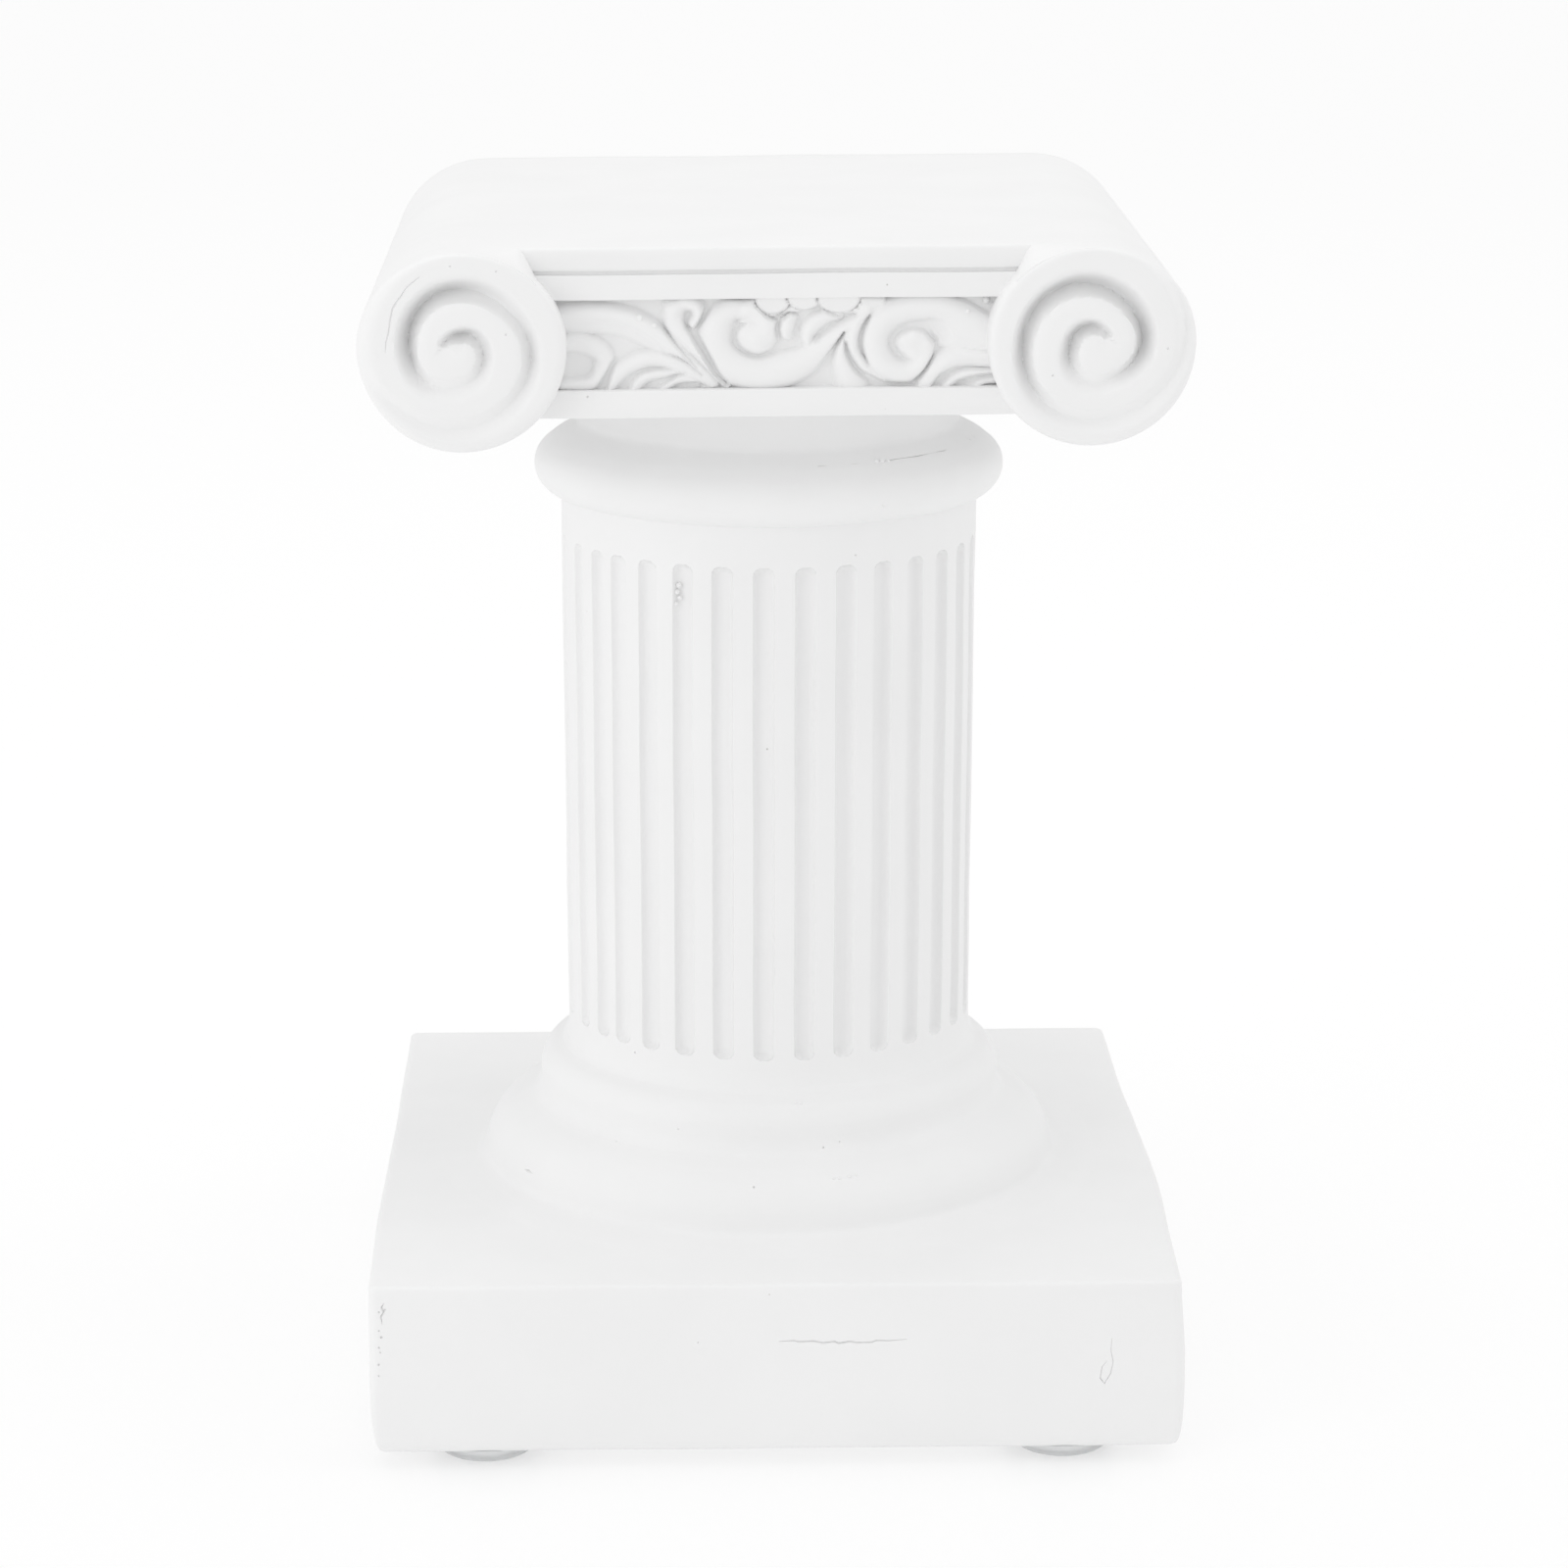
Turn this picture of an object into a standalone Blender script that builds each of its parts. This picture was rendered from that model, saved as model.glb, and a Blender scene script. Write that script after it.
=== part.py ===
"""A small Ionic column, cast in one piece in white plaster, on four clear stick-on feet.

Metres, +Z up. The feet stand on z = 0, the origin is under the middle of the plinth, the front faces -Y and +X runs to
the right of someone who faces the front.
"""

import math

import bmesh
import bpy

# Feet, which are rubber domes with a flat spot under them. A sweep is the angles in degrees, up from level, that a
# rounded outline runs between
foot_radius = 0.00635
foot_flat_radius = 0.0040
foot_height = 0.0022
foot_gap = 0.0003
foot_sweep = (22.5, 90)
foot_inset_front = 0.0074
foot_inset_side = 0.0133

# Plinth, whose lower edges curve in
plinth_width = 0.0951
plinth_depth = 0.1005
plinth_height = 0.0204
plinth_tuck = 0.0022
plinth_tuck_height = 0.0085
plinth_edge_round = 0.0006

# Base of the shaft: a broad lower ring, a hollow and an upper ring
lower_ring_height = 0.0079
lower_ring_radius = 0.0357
lower_ring_swell = 0.0064
lower_ring_belly = 0.0010
lower_ring_foot_inset = 0.0003
upper_ring_height = 0.0069
upper_ring_radius = 0.0287
upper_ring_swell = 0.0027
upper_ring_drop = 0.0033
lower_ring_sweep = (84, -8)
upper_ring_sweep = (80, -26)

# Shaft, with 32 flutes that stop short of both ends. The casting stands a hair off the plinth's middle
shaft_x = 0.00035
shaft_y = 0.0003
shaft_height = 0.0703
shaft_bottom_radius = 0.02513
shaft_top_radius = 0.02547
shaft_flare = 0.0009
shaft_flare_start = 0.0004
shaft_flare_height = 0.0035
flute_count = 32
flute_width = 0.0024
flute_depth = 0.0009
flute_bottom_margin = 0.0046
flute_top_margin = 0.0050
flute_turn = math.radians(-2.6)

# Neck: a full ring round its foot, then a plain drum up to the capital
neck_ring_height = 0.0068
neck_ring_radius = 0.0287
neck_ring_swell = 0.0041
neck_ring_seat = 0.0010
neck_ring_sweep = (106, -72)
neck_radius = 0.0234
neck_height = 0.0091

# Capital: a beam with a carved frieze on both faces, held between two long scrolls
capital_depth = 0.0894
capital_shift = 0.0028
lip_height = 0.0026
lip_groove = 0.0003
upper_band_height = 0.0033
frieze_height = 0.0103
lower_band_height = 0.0032
frieze_recess = 0.0014
carving_below_face = 0.0002
carving_behind_recess = 0.00005
carving_overrun = 0.0020
scroll_spacing = 0.07096
scroll_radius = 0.01178
scroll_crown = 0.01085
scroll_drop = 0.00005
scroll_front_overhang = 0.0040
scroll_back_overhang = 0.0004
scroll_rim_round = 0.0022
groove_radius = 0.0011
groove_lift = 0.0002
groove_end_lift = 0.0004
groove_start = math.radians(12)
groove_radii = (0.0015, 0.0044, 0.0061, 0.0064, 0.0075, 0.0088, 0.0107)

# The sheet that the carving is drawn on, which is then stretched to the frieze. It is drawn from the foot of its middle
sheet_width = 47.4
sheet_height = 10.3
leaf_tip_share = 0.45
coil_taper = 0.45

# How the pieces are cut and joined
joint_overlap = 0.0005
cut_clearance = 0.0010
merge_distance = 0.00001
sharp_angle = math.radians(40)

# How finely the round forms and the carvings are divided
turned_segments = 64
scroll_segments = 32
foot_segments = 14
flute_end_steps = 4
groove_steps = 4
plinth_tuck_levels = 4
plinth_edge_segments = 2
scroll_rim_segments = 3
front_carving_grid = (54, 12)
back_carving_grid = (36, 8)

# Heights of the levels that the pieces meet at
cast_bottom = foot_height + foot_gap
plinth_top = cast_bottom + plinth_height
lower_ring_top = plinth_top + lower_ring_height
shaft_bottom = lower_ring_top + upper_ring_height
shaft_top = shaft_bottom + shaft_height
neck_bottom = shaft_top + neck_ring_height
capital_bottom = neck_bottom + neck_height
frieze_bottom = capital_bottom + lower_band_height
frieze_top = frieze_bottom + frieze_height
lip_line = frieze_top + upper_band_height
capital_top = lip_line + lip_height
scroll_centre_z = capital_top - scroll_drop - scroll_crown

# Places in plan, seen from the front
capital_front = shaft_y + capital_shift - capital_depth / 2
capital_back = shaft_y + capital_shift + capital_depth / 2
scroll_x = scroll_spacing / 2
foot_x = plinth_width / 2 - foot_inset_side
foot_y = plinth_depth / 2 - foot_inset_front

for old in list(bpy.data.objects):
    bpy.data.objects.remove(old)


def new_collection(name):
    collection = bpy.data.collections.new(name)
    bpy.context.scene.collection.children.link(collection)
    return collection


column_collection = new_collection("roman_column")
cutter_collection = new_collection("cutters")
flute_collection = new_collection("flute_cutters")


def add_mesh(name, mesh, collection=None):
    """Puts a mesh in the scene; without a collection of its own it is a helper that is joined or cut away."""
    obj = bpy.data.objects.new(name, mesh)
    (collection or cutter_collection).objects.link(obj)
    if collection is not column_collection:
        obj.hide_render = True
        obj.display_type = "WIRE"
    return obj


def material(name, colour, roughness):
    made = bpy.data.materials.new(name)
    made.use_nodes = True
    shader = made.node_tree.nodes["Principled BSDF"]
    shader.inputs["Base Color"].default_value = (*colour, 1.0)
    shader.inputs["Roughness"].default_value = roughness
    shader.inputs["Metallic"].default_value = 0.0
    return made


def join(base, other, operation):
    step = base.modifiers.new(f"{operation.lower()} {other.name}", "BOOLEAN")
    step.operation = operation
    step.solver = "EXACT"
    if isinstance(other, bpy.types.Collection):
        step.operand_type = "COLLECTION"
        step.collection = other
    else:
        step.object = other


def in_triangles(obj):
    """Splits every face, so that the next Boolean meets only flat ones."""
    split = obj.modifiers.new("triangles", "TRIANGULATE")
    split.min_vertices = 4


def rounded_edges(obj, width, segments):
    edges = obj.modifiers.new("rounded edges", "BEVEL")
    edges.width = width
    edges.segments = segments
    edges.limit_method = "ANGLE"
    edges.angle_limit = sharp_angle


def ring_arc(centre_radius, centre_z, reach, rise, sweep, count):
    """Points of a swelling ring's outline, from the sweep's first angle to its last, in degrees."""
    start, end = sweep
    points = []
    for i in range(count):
        angle = math.radians(start + (end - start) * i / (count - 1))
        points.append((centre_radius + reach * math.cos(angle), centre_z + rise * math.sin(angle)))
    return points


def turned(name, profile, segments, collection=None):
    """A solid of revolution about Z from (radius, z) points that run down its outer side."""
    mesh = bpy.data.meshes.new(name)
    points = [(radius, 0.0, z) for radius, z in profile]
    mesh.from_pydata(points, [(i, i + 1) for i in range(len(points) - 1)], [])
    obj = add_mesh(name, mesh, collection)
    screw = obj.modifiers.new("turn", "SCREW")
    screw.steps = segments
    screw.render_steps = segments
    screw.use_merge_vertices = True
    screw.merge_threshold = merge_distance
    screw.use_smooth_shade = True
    return obj


def extruded(name, outline, start, end):
    """A prism: a closed outline of (x, z) points, swept along Y from start to end."""
    shape = bmesh.new()
    corners = [shape.verts.new((x, start, z)) for x, z in outline]
    face = shape.faces.new(corners)
    swept = bmesh.ops.extrude_face_region(shape, geom=[face])
    moved = [item for item in swept["geom"] if isinstance(item, bmesh.types.BMVert)]
    bmesh.ops.translate(shape, verts=moved, vec=(0.0, end - start, 0.0))
    return finished(shape, name)


def finished(shape, name):
    """Turns the faces outward and hands the shape over as a helper object."""
    bmesh.ops.recalc_face_normals(shape, faces=shape.faces)
    mesh = bpy.data.meshes.new(name)
    shape.to_mesh(mesh)
    shape.free()
    return add_mesh(name, mesh)


def box(name, low, high):
    outline = [(low[0], low[2]), (high[0], low[2]), (high[0], high[2]), (low[0], high[2])]
    return extruded(name, outline, low[1], high[1])


def turned_body():
    """Base rings, shaft and neck as one turned solid, sunk a little into the plinth and the capital."""
    belly = plinth_top + lower_ring_belly
    upper_centre = shaft_bottom - upper_ring_drop
    upper_rise = upper_ring_height - upper_ring_drop
    neck_centre = (shaft_top + neck_bottom) / 2
    profile = [(0.0, capital_bottom + joint_overlap), (neck_radius, capital_bottom + joint_overlap)]
    profile += ring_arc(
        neck_ring_radius - neck_ring_swell, neck_centre, neck_ring_swell, neck_ring_height / 2, neck_ring_sweep, 7
    )
    profile += [
        (shaft_top_radius, shaft_top - neck_ring_seat),
        (shaft_bottom_radius, shaft_bottom + shaft_flare_height),
        (shaft_bottom_radius + shaft_flare, shaft_bottom + shaft_flare_start),
    ]
    profile += ring_arc(
        upper_ring_radius - upper_ring_swell, upper_centre, upper_ring_swell, upper_rise, upper_ring_sweep, 6
    )
    profile += ring_arc(
        lower_ring_radius - lower_ring_swell, belly, lower_ring_swell, lower_ring_top - belly, lower_ring_sweep, 6
    )
    foot_of_ring = lower_ring_radius - lower_ring_foot_inset
    profile += [(foot_of_ring, plinth_top - joint_overlap), (0.0, plinth_top - joint_overlap)]
    body = turned("column", profile, turned_segments, column_collection)
    body.location = (shaft_x, shaft_y, 0.0)
    body.rotation_euler.z = flute_turn
    return body


def plinth():
    """A block whose lower edges curve in, cut into levels and then drawn in level by level."""
    shape = bmesh.new()
    bmesh.ops.create_cube(shape, size=1.0)
    bmesh.ops.scale(shape, verts=shape.verts, vec=(plinth_width, plinth_depth, plinth_height))
    bmesh.ops.translate(shape, verts=shape.verts, vec=(0.0, 0.0, cast_bottom + plinth_height / 2))
    for level in range(1, plinth_tuck_levels + 1):
        height = cast_bottom + plinth_tuck_height * (level / plinth_tuck_levels) ** 1.5
        everything = shape.verts[:] + shape.edges[:] + shape.faces[:]
        bmesh.ops.bisect_plane(shape, geom=everything, plane_co=(0.0, 0.0, height), plane_no=(0.0, 0.0, 1.0))
    for corner in shape.verts:
        share = min(1.0, max(0.0, 1.0 - (corner.co.z - cast_bottom) / plinth_tuck_height))
        inward = plinth_tuck * (1.0 - math.sqrt(1.0 - share * share))
        corner.co.x -= math.copysign(inward, corner.co.x)
        corner.co.y -= math.copysign(inward, corner.co.y)
    block = finished(shape, "plinth block")
    rounded_edges(block, plinth_edge_round, plinth_edge_segments)
    return block


def flute_cutters():
    """Round-ended slots, pushed into the shaft from outside and set out evenly round it."""
    shaft_radius = (shaft_bottom_radius + shaft_top_radius) / 2
    low = shaft_bottom + flute_bottom_margin + flute_width / 2
    high = shaft_top - flute_top_margin - flute_width / 2
    outline = []
    for end_height, start in ((high, 0.0), (low, math.pi)):
        for i in range(flute_end_steps + 1):
            angle = start + math.pi * i / flute_end_steps
            outline.append((flute_width / 2 * math.cos(angle), end_height + flute_width / 2 * math.sin(angle)))
    outside = shaft_radius + shaft_flare + cut_clearance
    first = extruded("flute", outline, -outside, -shaft_radius + flute_depth)
    mesh = first.data
    bpy.data.objects.remove(first)
    for i in range(flute_count):
        cutter = add_mesh(f"flute {i + 1}", mesh, flute_collection)
        cutter.location = (shaft_x, shaft_y, 0.0)
        cutter.rotation_euler.z = flute_turn + math.tau * i / flute_count


def leaf(start, bend, end, width, crown, count=9):
    """A leaf's or stem's spine as (x, z, half width, crown) points, full in the middle and narrower at its tip."""
    points = []
    for i in range(count):
        t = i / (count - 1)
        place = [(1 - t) ** 2 * a + 2 * t * (1 - t) * b + t * t * c for a, b, c in zip(start, bend, end)]
        swell = math.sqrt(math.sin(math.pi * (0.15 + 0.85 * t))) if t < 1 else 0.0
        points.append((*place, width * (leaf_tip_share + (1 - leaf_tip_share) * swell), crown))
    return points


def coil(eye, start, sweep, outer, inner, width, crown, count=22):
    """A scroll's spine that winds from its outer radius to its eye; a positive sweep is anticlockwise."""
    points = []
    for i in range(count):
        t = i / (count - 1)
        angle = math.radians(start + sweep * t)
        radius = outer + (inner - outer) * t
        full = width * (1.0 - coil_taper * t)
        points.append((eye[0] + radius * math.cos(angle), eye[1] + radius * math.sin(angle), full, crown))
    return points


def ornament():
    """The scrolling foliage of the frieze: stems, leaves and petals, with each crown as a share of the full relief."""
    return [
        leaf((-8.0, 0.9), (-16.0, 9.0), (-24.6, 7.9), 1.7, 0.96),
        leaf((-8.4, 0.6), (-17.3, 6.6), (-18.8, 0.0), 1.0, 0.83),
        leaf((-8.6, 0.5), (-13.6, 3.4), (-15.7, 0.0), 0.75, 0.75),
        leaf((-8.1, 0.4), (-10.4, 1.8), (-12.5, 0.0), 0.6, 0.63),
        coil((-22.5, 2.7), 150, -330, 2.4, 2.0, 1.2, 0.83, 14),
        leaf((-6.5, 0.6), (-10.3, 5.6), (-11.5, 9.0), 0.95, 0.92),
        coil((-9.9, 8.3), 160, -330, 1.8, 0.5, 0.95, 0.92, 12),
        coil((-2.5, 5.8), 60, 255, 3.0, 4.7, 2.0, 1.0),
        leaf((0.8, 2.3), (6.0, 2.6), (9.7, 8.4), 1.6, 0.96),
        leaf((-3.2, 5.8), (-2.4, 6.2), (-1.6, 5.8), 2.0, 0.96, 4),
        leaf((-0.8, 10.3), (-0.4, 10.4), (0.0, 10.3), 2.2, 1.0, 3),
        leaf((2.8, 10.5), (3.2, 10.6), (3.6, 10.5), 1.9, 0.92, 3),
        leaf((6.6, 10.6), (8.3, 10.6), (10.0, 10.6), 2.3, 0.88, 5),
        leaf((1.1, 5.0), (1.1, 6.6), (1.2, 8.4), 0.85, 0.83, 5),
        leaf((8.0, 7.6), (4.6, 7.6), (3.3, 4.9), 1.0, 0.83),
        leaf((8.9, 0.0), (5.8, 3.0), (8.3, 6.2), 0.8, 0.79),
        leaf((12.6, 0.3), (7.5, 3.2), (10.1, 7.8), 0.75, 0.79),
        coil((15.1, 4.8), 51, 480, 4.3, 0.5, 1.35, 1.0, 30),
        leaf((18.2, 8.3), (21.8, 8.3), (24.8, 5.6), 1.5, 0.96),
        leaf((16.3, 0.0), (18.0, 3.8), (24.8, 3.2), 1.0, 0.83),
        leaf((19.6, 0.0), (20.6, 1.6), (24.8, 1.5), 0.7, 0.71),
    ]


def relief_share(x, z, spines):
    """Height of the carving at a point of its sheet, from 0 to 1: the fullest of the rounded forms over it."""
    best = 0.0
    for spine in spines:
        for (ax, az, aw, crown), (bx, bz, bw, _) in zip(spine, spine[1:]):
            run_x, run_z = bx - ax, bz - az
            length = run_x * run_x + run_z * run_z
            along = ((x - ax) * run_x + (z - az) * run_z) / length if length else 0.0
            along = min(1.0, max(0.0, along))
            away = math.hypot(x - ax - along * run_x, z - az - along * run_z)
            share = away / (aw + (bw - aw) * along)
            if share < 1.0:
                best = max(best, crown * math.sqrt(1.0 - share * share))
    return best


def frieze_carving(name, face, outward, grid):
    """A thin slab whose outer face is the carving. It starts behind the recess and runs under the frame around it."""
    columns, rows = grid
    floor = face - outward * (frieze_recess - carving_behind_recess)
    behind = face - outward * (frieze_recess + joint_overlap)
    relief = frieze_recess - carving_below_face
    opening = scroll_x - scroll_radius
    half = opening + carving_overrun
    low, high = frieze_bottom - joint_overlap / 2, frieze_top + joint_overlap / 2
    across, up = sheet_width / 2 / opening, sheet_height / frieze_height
    spines = ornament()
    shape = bmesh.new()
    front = []
    for row in range(rows + 1):
        z = low + (high - low) * row / rows
        line = []
        for column in range(columns + 1):
            x = -half + 2 * half * column / columns
            height = relief * relief_share(-outward * x * across, (z - frieze_bottom) * up, spines)
            line.append(shape.verts.new((shaft_x + x, floor + outward * height, z)))
        front.append(line)
    for lower, upper in zip(front, front[1:]):
        for i in range(columns):
            shape.faces.new((lower[i], lower[i + 1], upper[i + 1], upper[i]))
    rim = [edge for edge in shape.edges if edge.is_boundary]
    grown = bmesh.ops.extrude_edge_only(shape, edges=rim)
    moved = [item for item in grown["geom"] if isinstance(item, bmesh.types.BMVert)]
    for corner in moved:
        corner.co.y = behind
    bmesh.ops.contextual_create(shape, geom=[edge for edge in shape.edges if edge.is_boundary])
    return finished(shape, name)


def face_cutter(name, face, outward, depth, low, high):
    """A bar that cuts a level slot of that depth across the whole face, from the height low to high."""
    depths = sorted((face - outward * depth, face + outward * cut_clearance))
    return box(name, (-scroll_spacing, depths[0], low), (scroll_spacing, depths[1], high))


def capital_beam():
    """The beam between the scrolls, with a lip line and a sunk, carved frieze on both faces."""
    beam = box(
        "capital beam",
        (shaft_x - scroll_x, capital_front, capital_bottom),
        (shaft_x + scroll_x, capital_back, capital_top),
    )
    faces = (("front", capital_front, -1.0, front_carving_grid), ("back", capital_back, 1.0, back_carving_grid))
    for side, face, outward, _ in faces:
        recess = face_cutter(f"{side} recess", face, outward, frieze_recess, frieze_bottom, frieze_top)
        line = face_cutter(f"{side} lip line", face, outward, lip_groove, lip_line - lip_groove, lip_line)
        join(beam, recess, "DIFFERENCE")
        join(beam, line, "DIFFERENCE")
    for side, face, outward, grid in faces:
        join(beam, frieze_carving(f"{side} carving", face, outward, grid), "UNION")
    in_triangles(beam)
    return beam


def scroll_outline():
    """Section of a scroll, seen from the front: round below and a little flatter above."""
    points = []
    for i in range(scroll_segments):
        angle = math.tau * i / scroll_segments
        rise = scroll_crown if math.sin(angle) > 0 else scroll_radius
        points.append((scroll_radius * math.cos(angle), scroll_centre_z + rise * math.sin(angle)))
    return points


def groove_route():
    """The groove's middle line as (radius, swept angle) points, smooth through one radius for each quarter turn."""
    knots = (2 * groove_radii[0] - groove_radii[1], *groove_radii, 2 * groove_radii[-1] - groove_radii[-2])
    points = []
    for quarter in range(len(groove_radii) - 1):
        before, here, after, beyond = knots[quarter : quarter + 4]
        for i in range(groove_steps):
            t = i / groove_steps
            radius = 0.5 * (
                2 * here
                + (after - before) * t
                + (2 * before - 5 * here + 4 * after - beyond) * t * t
                + (3 * here - before - 3 * after + beyond) * t**3
            )
            points.append((radius, (quarter + t) * math.pi / 2))
    points.append((groove_radii[-1], (len(groove_radii) - 1) * math.pi / 2))
    return points


def groove_cutter(name, side, face, outward):
    """The spiral groove as a thin tube that lies in the scroll's end face and rises out of it at both ends."""
    route = groove_route()
    curve = bpy.data.curves.new(name, "CURVE")
    curve.dimensions = "3D"
    curve.bevel_depth = groove_radius
    curve.bevel_resolution = 1
    curve.use_fill_caps = True
    spline = curve.splines.new("POLY")
    spline.points.add(len(route) - 1)
    for i, (radius, swept) in enumerate(route):
        angle = groove_start - swept
        from_end = min(i, len(route) - 1 - i)
        lift = groove_lift + groove_end_lift * max(0, 2 - from_end)
        x = shaft_x + side * (scroll_x - radius * math.cos(angle))
        z = scroll_centre_z + radius * math.sin(angle)
        spline.points[i].co = (x, face + outward * lift, z, 1.0)
    guide = bpy.data.objects.new(name, curve)
    cutter_collection.objects.link(guide)
    bpy.context.view_layer.update()
    tube = bpy.data.meshes.new_from_object(guide.evaluated_get(bpy.context.evaluated_depsgraph_get()))
    bpy.data.objects.remove(guide)
    shape = bmesh.new()
    shape.from_mesh(tube)
    bmesh.ops.remove_doubles(shape, verts=shape.verts, dist=merge_distance)
    return finished(shape, name)


def scroll(name, side):
    """A long scroll that runs from front to back, with a rounded rim and a spiral groove at each end."""
    front = capital_front - scroll_front_overhang
    back = capital_back + scroll_back_overhang
    outline = [(shaft_x + side * scroll_x + x, z) for x, z in scroll_outline()]
    roll = extruded(name, outline, front, back)
    rounded_edges(roll, scroll_rim_round, scroll_rim_segments)
    join(roll, groove_cutter(f"{name} front groove", side, front, -1.0), "DIFFERENCE")
    join(roll, groove_cutter(f"{name} back groove", side, back, 1.0), "DIFFERENCE")
    in_triangles(roll)
    return roll


def column():
    """The whole casting: plinth, base, shaft, neck and capital in one solid."""
    body = turned_body()
    join(body, plinth(), "UNION")
    join(body, capital_beam(), "UNION")
    join(body, scroll("left scroll", -1.0), "UNION")
    join(body, scroll("right scroll", 1.0), "UNION")
    flute_cutters()
    join(body, flute_collection, "DIFFERENCE")
    body.data.materials.append(material("white_plaster", (0.84, 0.84, 0.83), 0.55))


def foot(name, x, y):
    """A clear rubber dome, flat where it sticks to the plinth and flat where it stands."""
    profile = [(0.0, foot_height), (foot_radius, foot_height)]
    reach = foot_radius - foot_flat_radius
    profile += ring_arc(foot_flat_radius, foot_height, reach, -foot_height, foot_sweep, 4)
    profile.append((0.0, 0.0))
    dome = turned(name, profile, foot_segments, column_collection)
    dome.location = (x, y, 0.0)
    dome.data.materials.append(material(name + "_clear_rubber", (0.80, 0.81, 0.81), 0.25))


column()
for place, sign_x, sign_y in (
    ("foot_front_left", -1, -1),
    ("foot_front_right", 1, -1),
    ("foot_back_left", -1, 1),
    ("foot_back_right", 1, 1),
):
    foot(place, sign_x * foot_x, sign_y * foot_y)
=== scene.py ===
# %% [markdown]
# The subject is a small Ionic column, cast in one piece in white plaster, that stands on four clear stick-
# on feet. The frame that is loaded here holds its solids at their real size. Every piece below is built
# round them in millimetres and turned into metres when its mesh is made, because a caster measures such a
# thing in millimetres.

# %% Load the solids
import math

import bmesh
import bpy
import numpy as np
from mathutils import Matrix, Vector


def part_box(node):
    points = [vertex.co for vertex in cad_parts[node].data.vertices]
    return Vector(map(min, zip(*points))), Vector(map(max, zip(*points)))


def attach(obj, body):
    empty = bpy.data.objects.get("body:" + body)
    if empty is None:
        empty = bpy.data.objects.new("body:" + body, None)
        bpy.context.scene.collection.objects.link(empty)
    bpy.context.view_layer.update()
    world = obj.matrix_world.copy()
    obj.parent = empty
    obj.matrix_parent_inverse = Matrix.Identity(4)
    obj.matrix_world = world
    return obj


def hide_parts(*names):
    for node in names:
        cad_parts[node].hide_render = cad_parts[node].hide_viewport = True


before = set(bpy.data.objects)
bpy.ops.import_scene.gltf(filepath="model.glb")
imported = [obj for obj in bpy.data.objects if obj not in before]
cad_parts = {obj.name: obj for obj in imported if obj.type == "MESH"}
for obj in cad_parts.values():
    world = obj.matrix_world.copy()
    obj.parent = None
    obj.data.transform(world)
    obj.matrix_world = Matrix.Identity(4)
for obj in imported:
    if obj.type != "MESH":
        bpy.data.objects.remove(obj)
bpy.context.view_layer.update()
metres = 0.001
cast_low, cast_high = (tuple(side / metres for side in corner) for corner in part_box("column"))
cast_bottom, capital_top = cast_low[2], cast_high[2]
plinth_half_width, plinth_half_depth = -cast_low[0], cast_high[1]
print("casting stands from", round(cast_bottom, 2), "to", round(capital_top, 2), "mm")

# %% [markdown]
# The levels where one moulding ends and the next begins are measured down from the top and up from the
# plinth, as they would be read off the real casting with a height gauge. The shaft stands a hair off the
# plinth's middle.

# %% Levels and the shaft's place
plinth_top = cast_bottom + 20.4
lower_ring_top = plinth_top + 7.9
shaft_bottom = lower_ring_top + 6.9
capital_bottom = capital_top - 19.4
neck_bottom = capital_bottom - 9.1
shaft_top = neck_bottom - 6.8
shaft_centre = np.array([0.35, 0.3])
print("shaft runs from", round(shaft_bottom, 2), "to", round(shaft_top, 2), "mm")

# %% [markdown]
# Most of the casting is made of rings of points: rings round an axis for the turned mouldings, rings round
# a block for the plinth, rings that shrink to the eye for the scrolls. One helper skins such rings with
# faces and caps both ends, so that every part is a closed body, which a clean join needs later.

# %% Helpers that make meshes
casting_parts = []


def laid_out(x, y, z):
    """Points from their x, y and z, each of which may be one number for all of them."""
    return np.stack(np.broadcast_arrays(x, y, z), axis=-1)


def closed_body(name, points, faces):
    mesh = bpy.data.meshes.new(name)
    mesh.from_pydata((np.asarray(points, float) * metres).tolist(), [], faces)
    shape = bmesh.new()
    shape.from_mesh(mesh)
    bmesh.ops.recalc_face_normals(shape, faces=shape.faces)
    shape.to_mesh(mesh)
    shape.free()
    body = bpy.data.objects.new(name, mesh)
    bpy.context.scene.collection.objects.link(body)
    print(name, len(mesh.vertices), "points")
    return body


def skin(name, rings):
    """Faces between each ring and the next, and a cap on the first and the last."""
    rings = np.asarray(rings, float)
    count, around = rings.shape[:2]
    index = np.arange(count * around).reshape(count, around)
    low, high = index[:-1], index[1:]
    quads = np.stack([low, np.roll(low, -1, 1), np.roll(high, -1, 1), high], axis=-1)
    caps = [index[0][::-1].tolist(), index[-1].tolist()]
    return closed_body(name, rings.reshape(-1, 3), quads.reshape(-1, 4).tolist() + caps)


# %% [markdown]
# A plaster cast is never ruler-straight: the rubber mould it comes from gives a little. A slow wave of a
# few hundredths of a millimetre, the same field for every part, bends the long edges just enough to lose
# the machine look. It is worked out from sines, so it is the same each time.

# %% The mould's slow waver
waver_size = 0.03
waver_length = 31.0


def waver(points):
    points = np.asarray(points, float)
    x, y, z = (points[..., i] * math.tau / waver_length for i in range(3))
    field = np.stack(
        [
            np.sin(y * 1.1 + z * 0.9 + 1.0) + 0.6 * np.sin(z * 2.3 + x * 0.7),
            np.sin(x * 1.2 + z * 0.8 + 2.0) + 0.6 * np.sin(x * 2.1 + z * 1.3 + 0.5),
            np.sin(x * 0.9 + y * 1.0 + 3.0) + 0.6 * np.sin(y * 1.9 + x * 1.4 + 1.5),
        ],
        axis=-1,
    )
    return points + waver_size * field


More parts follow.
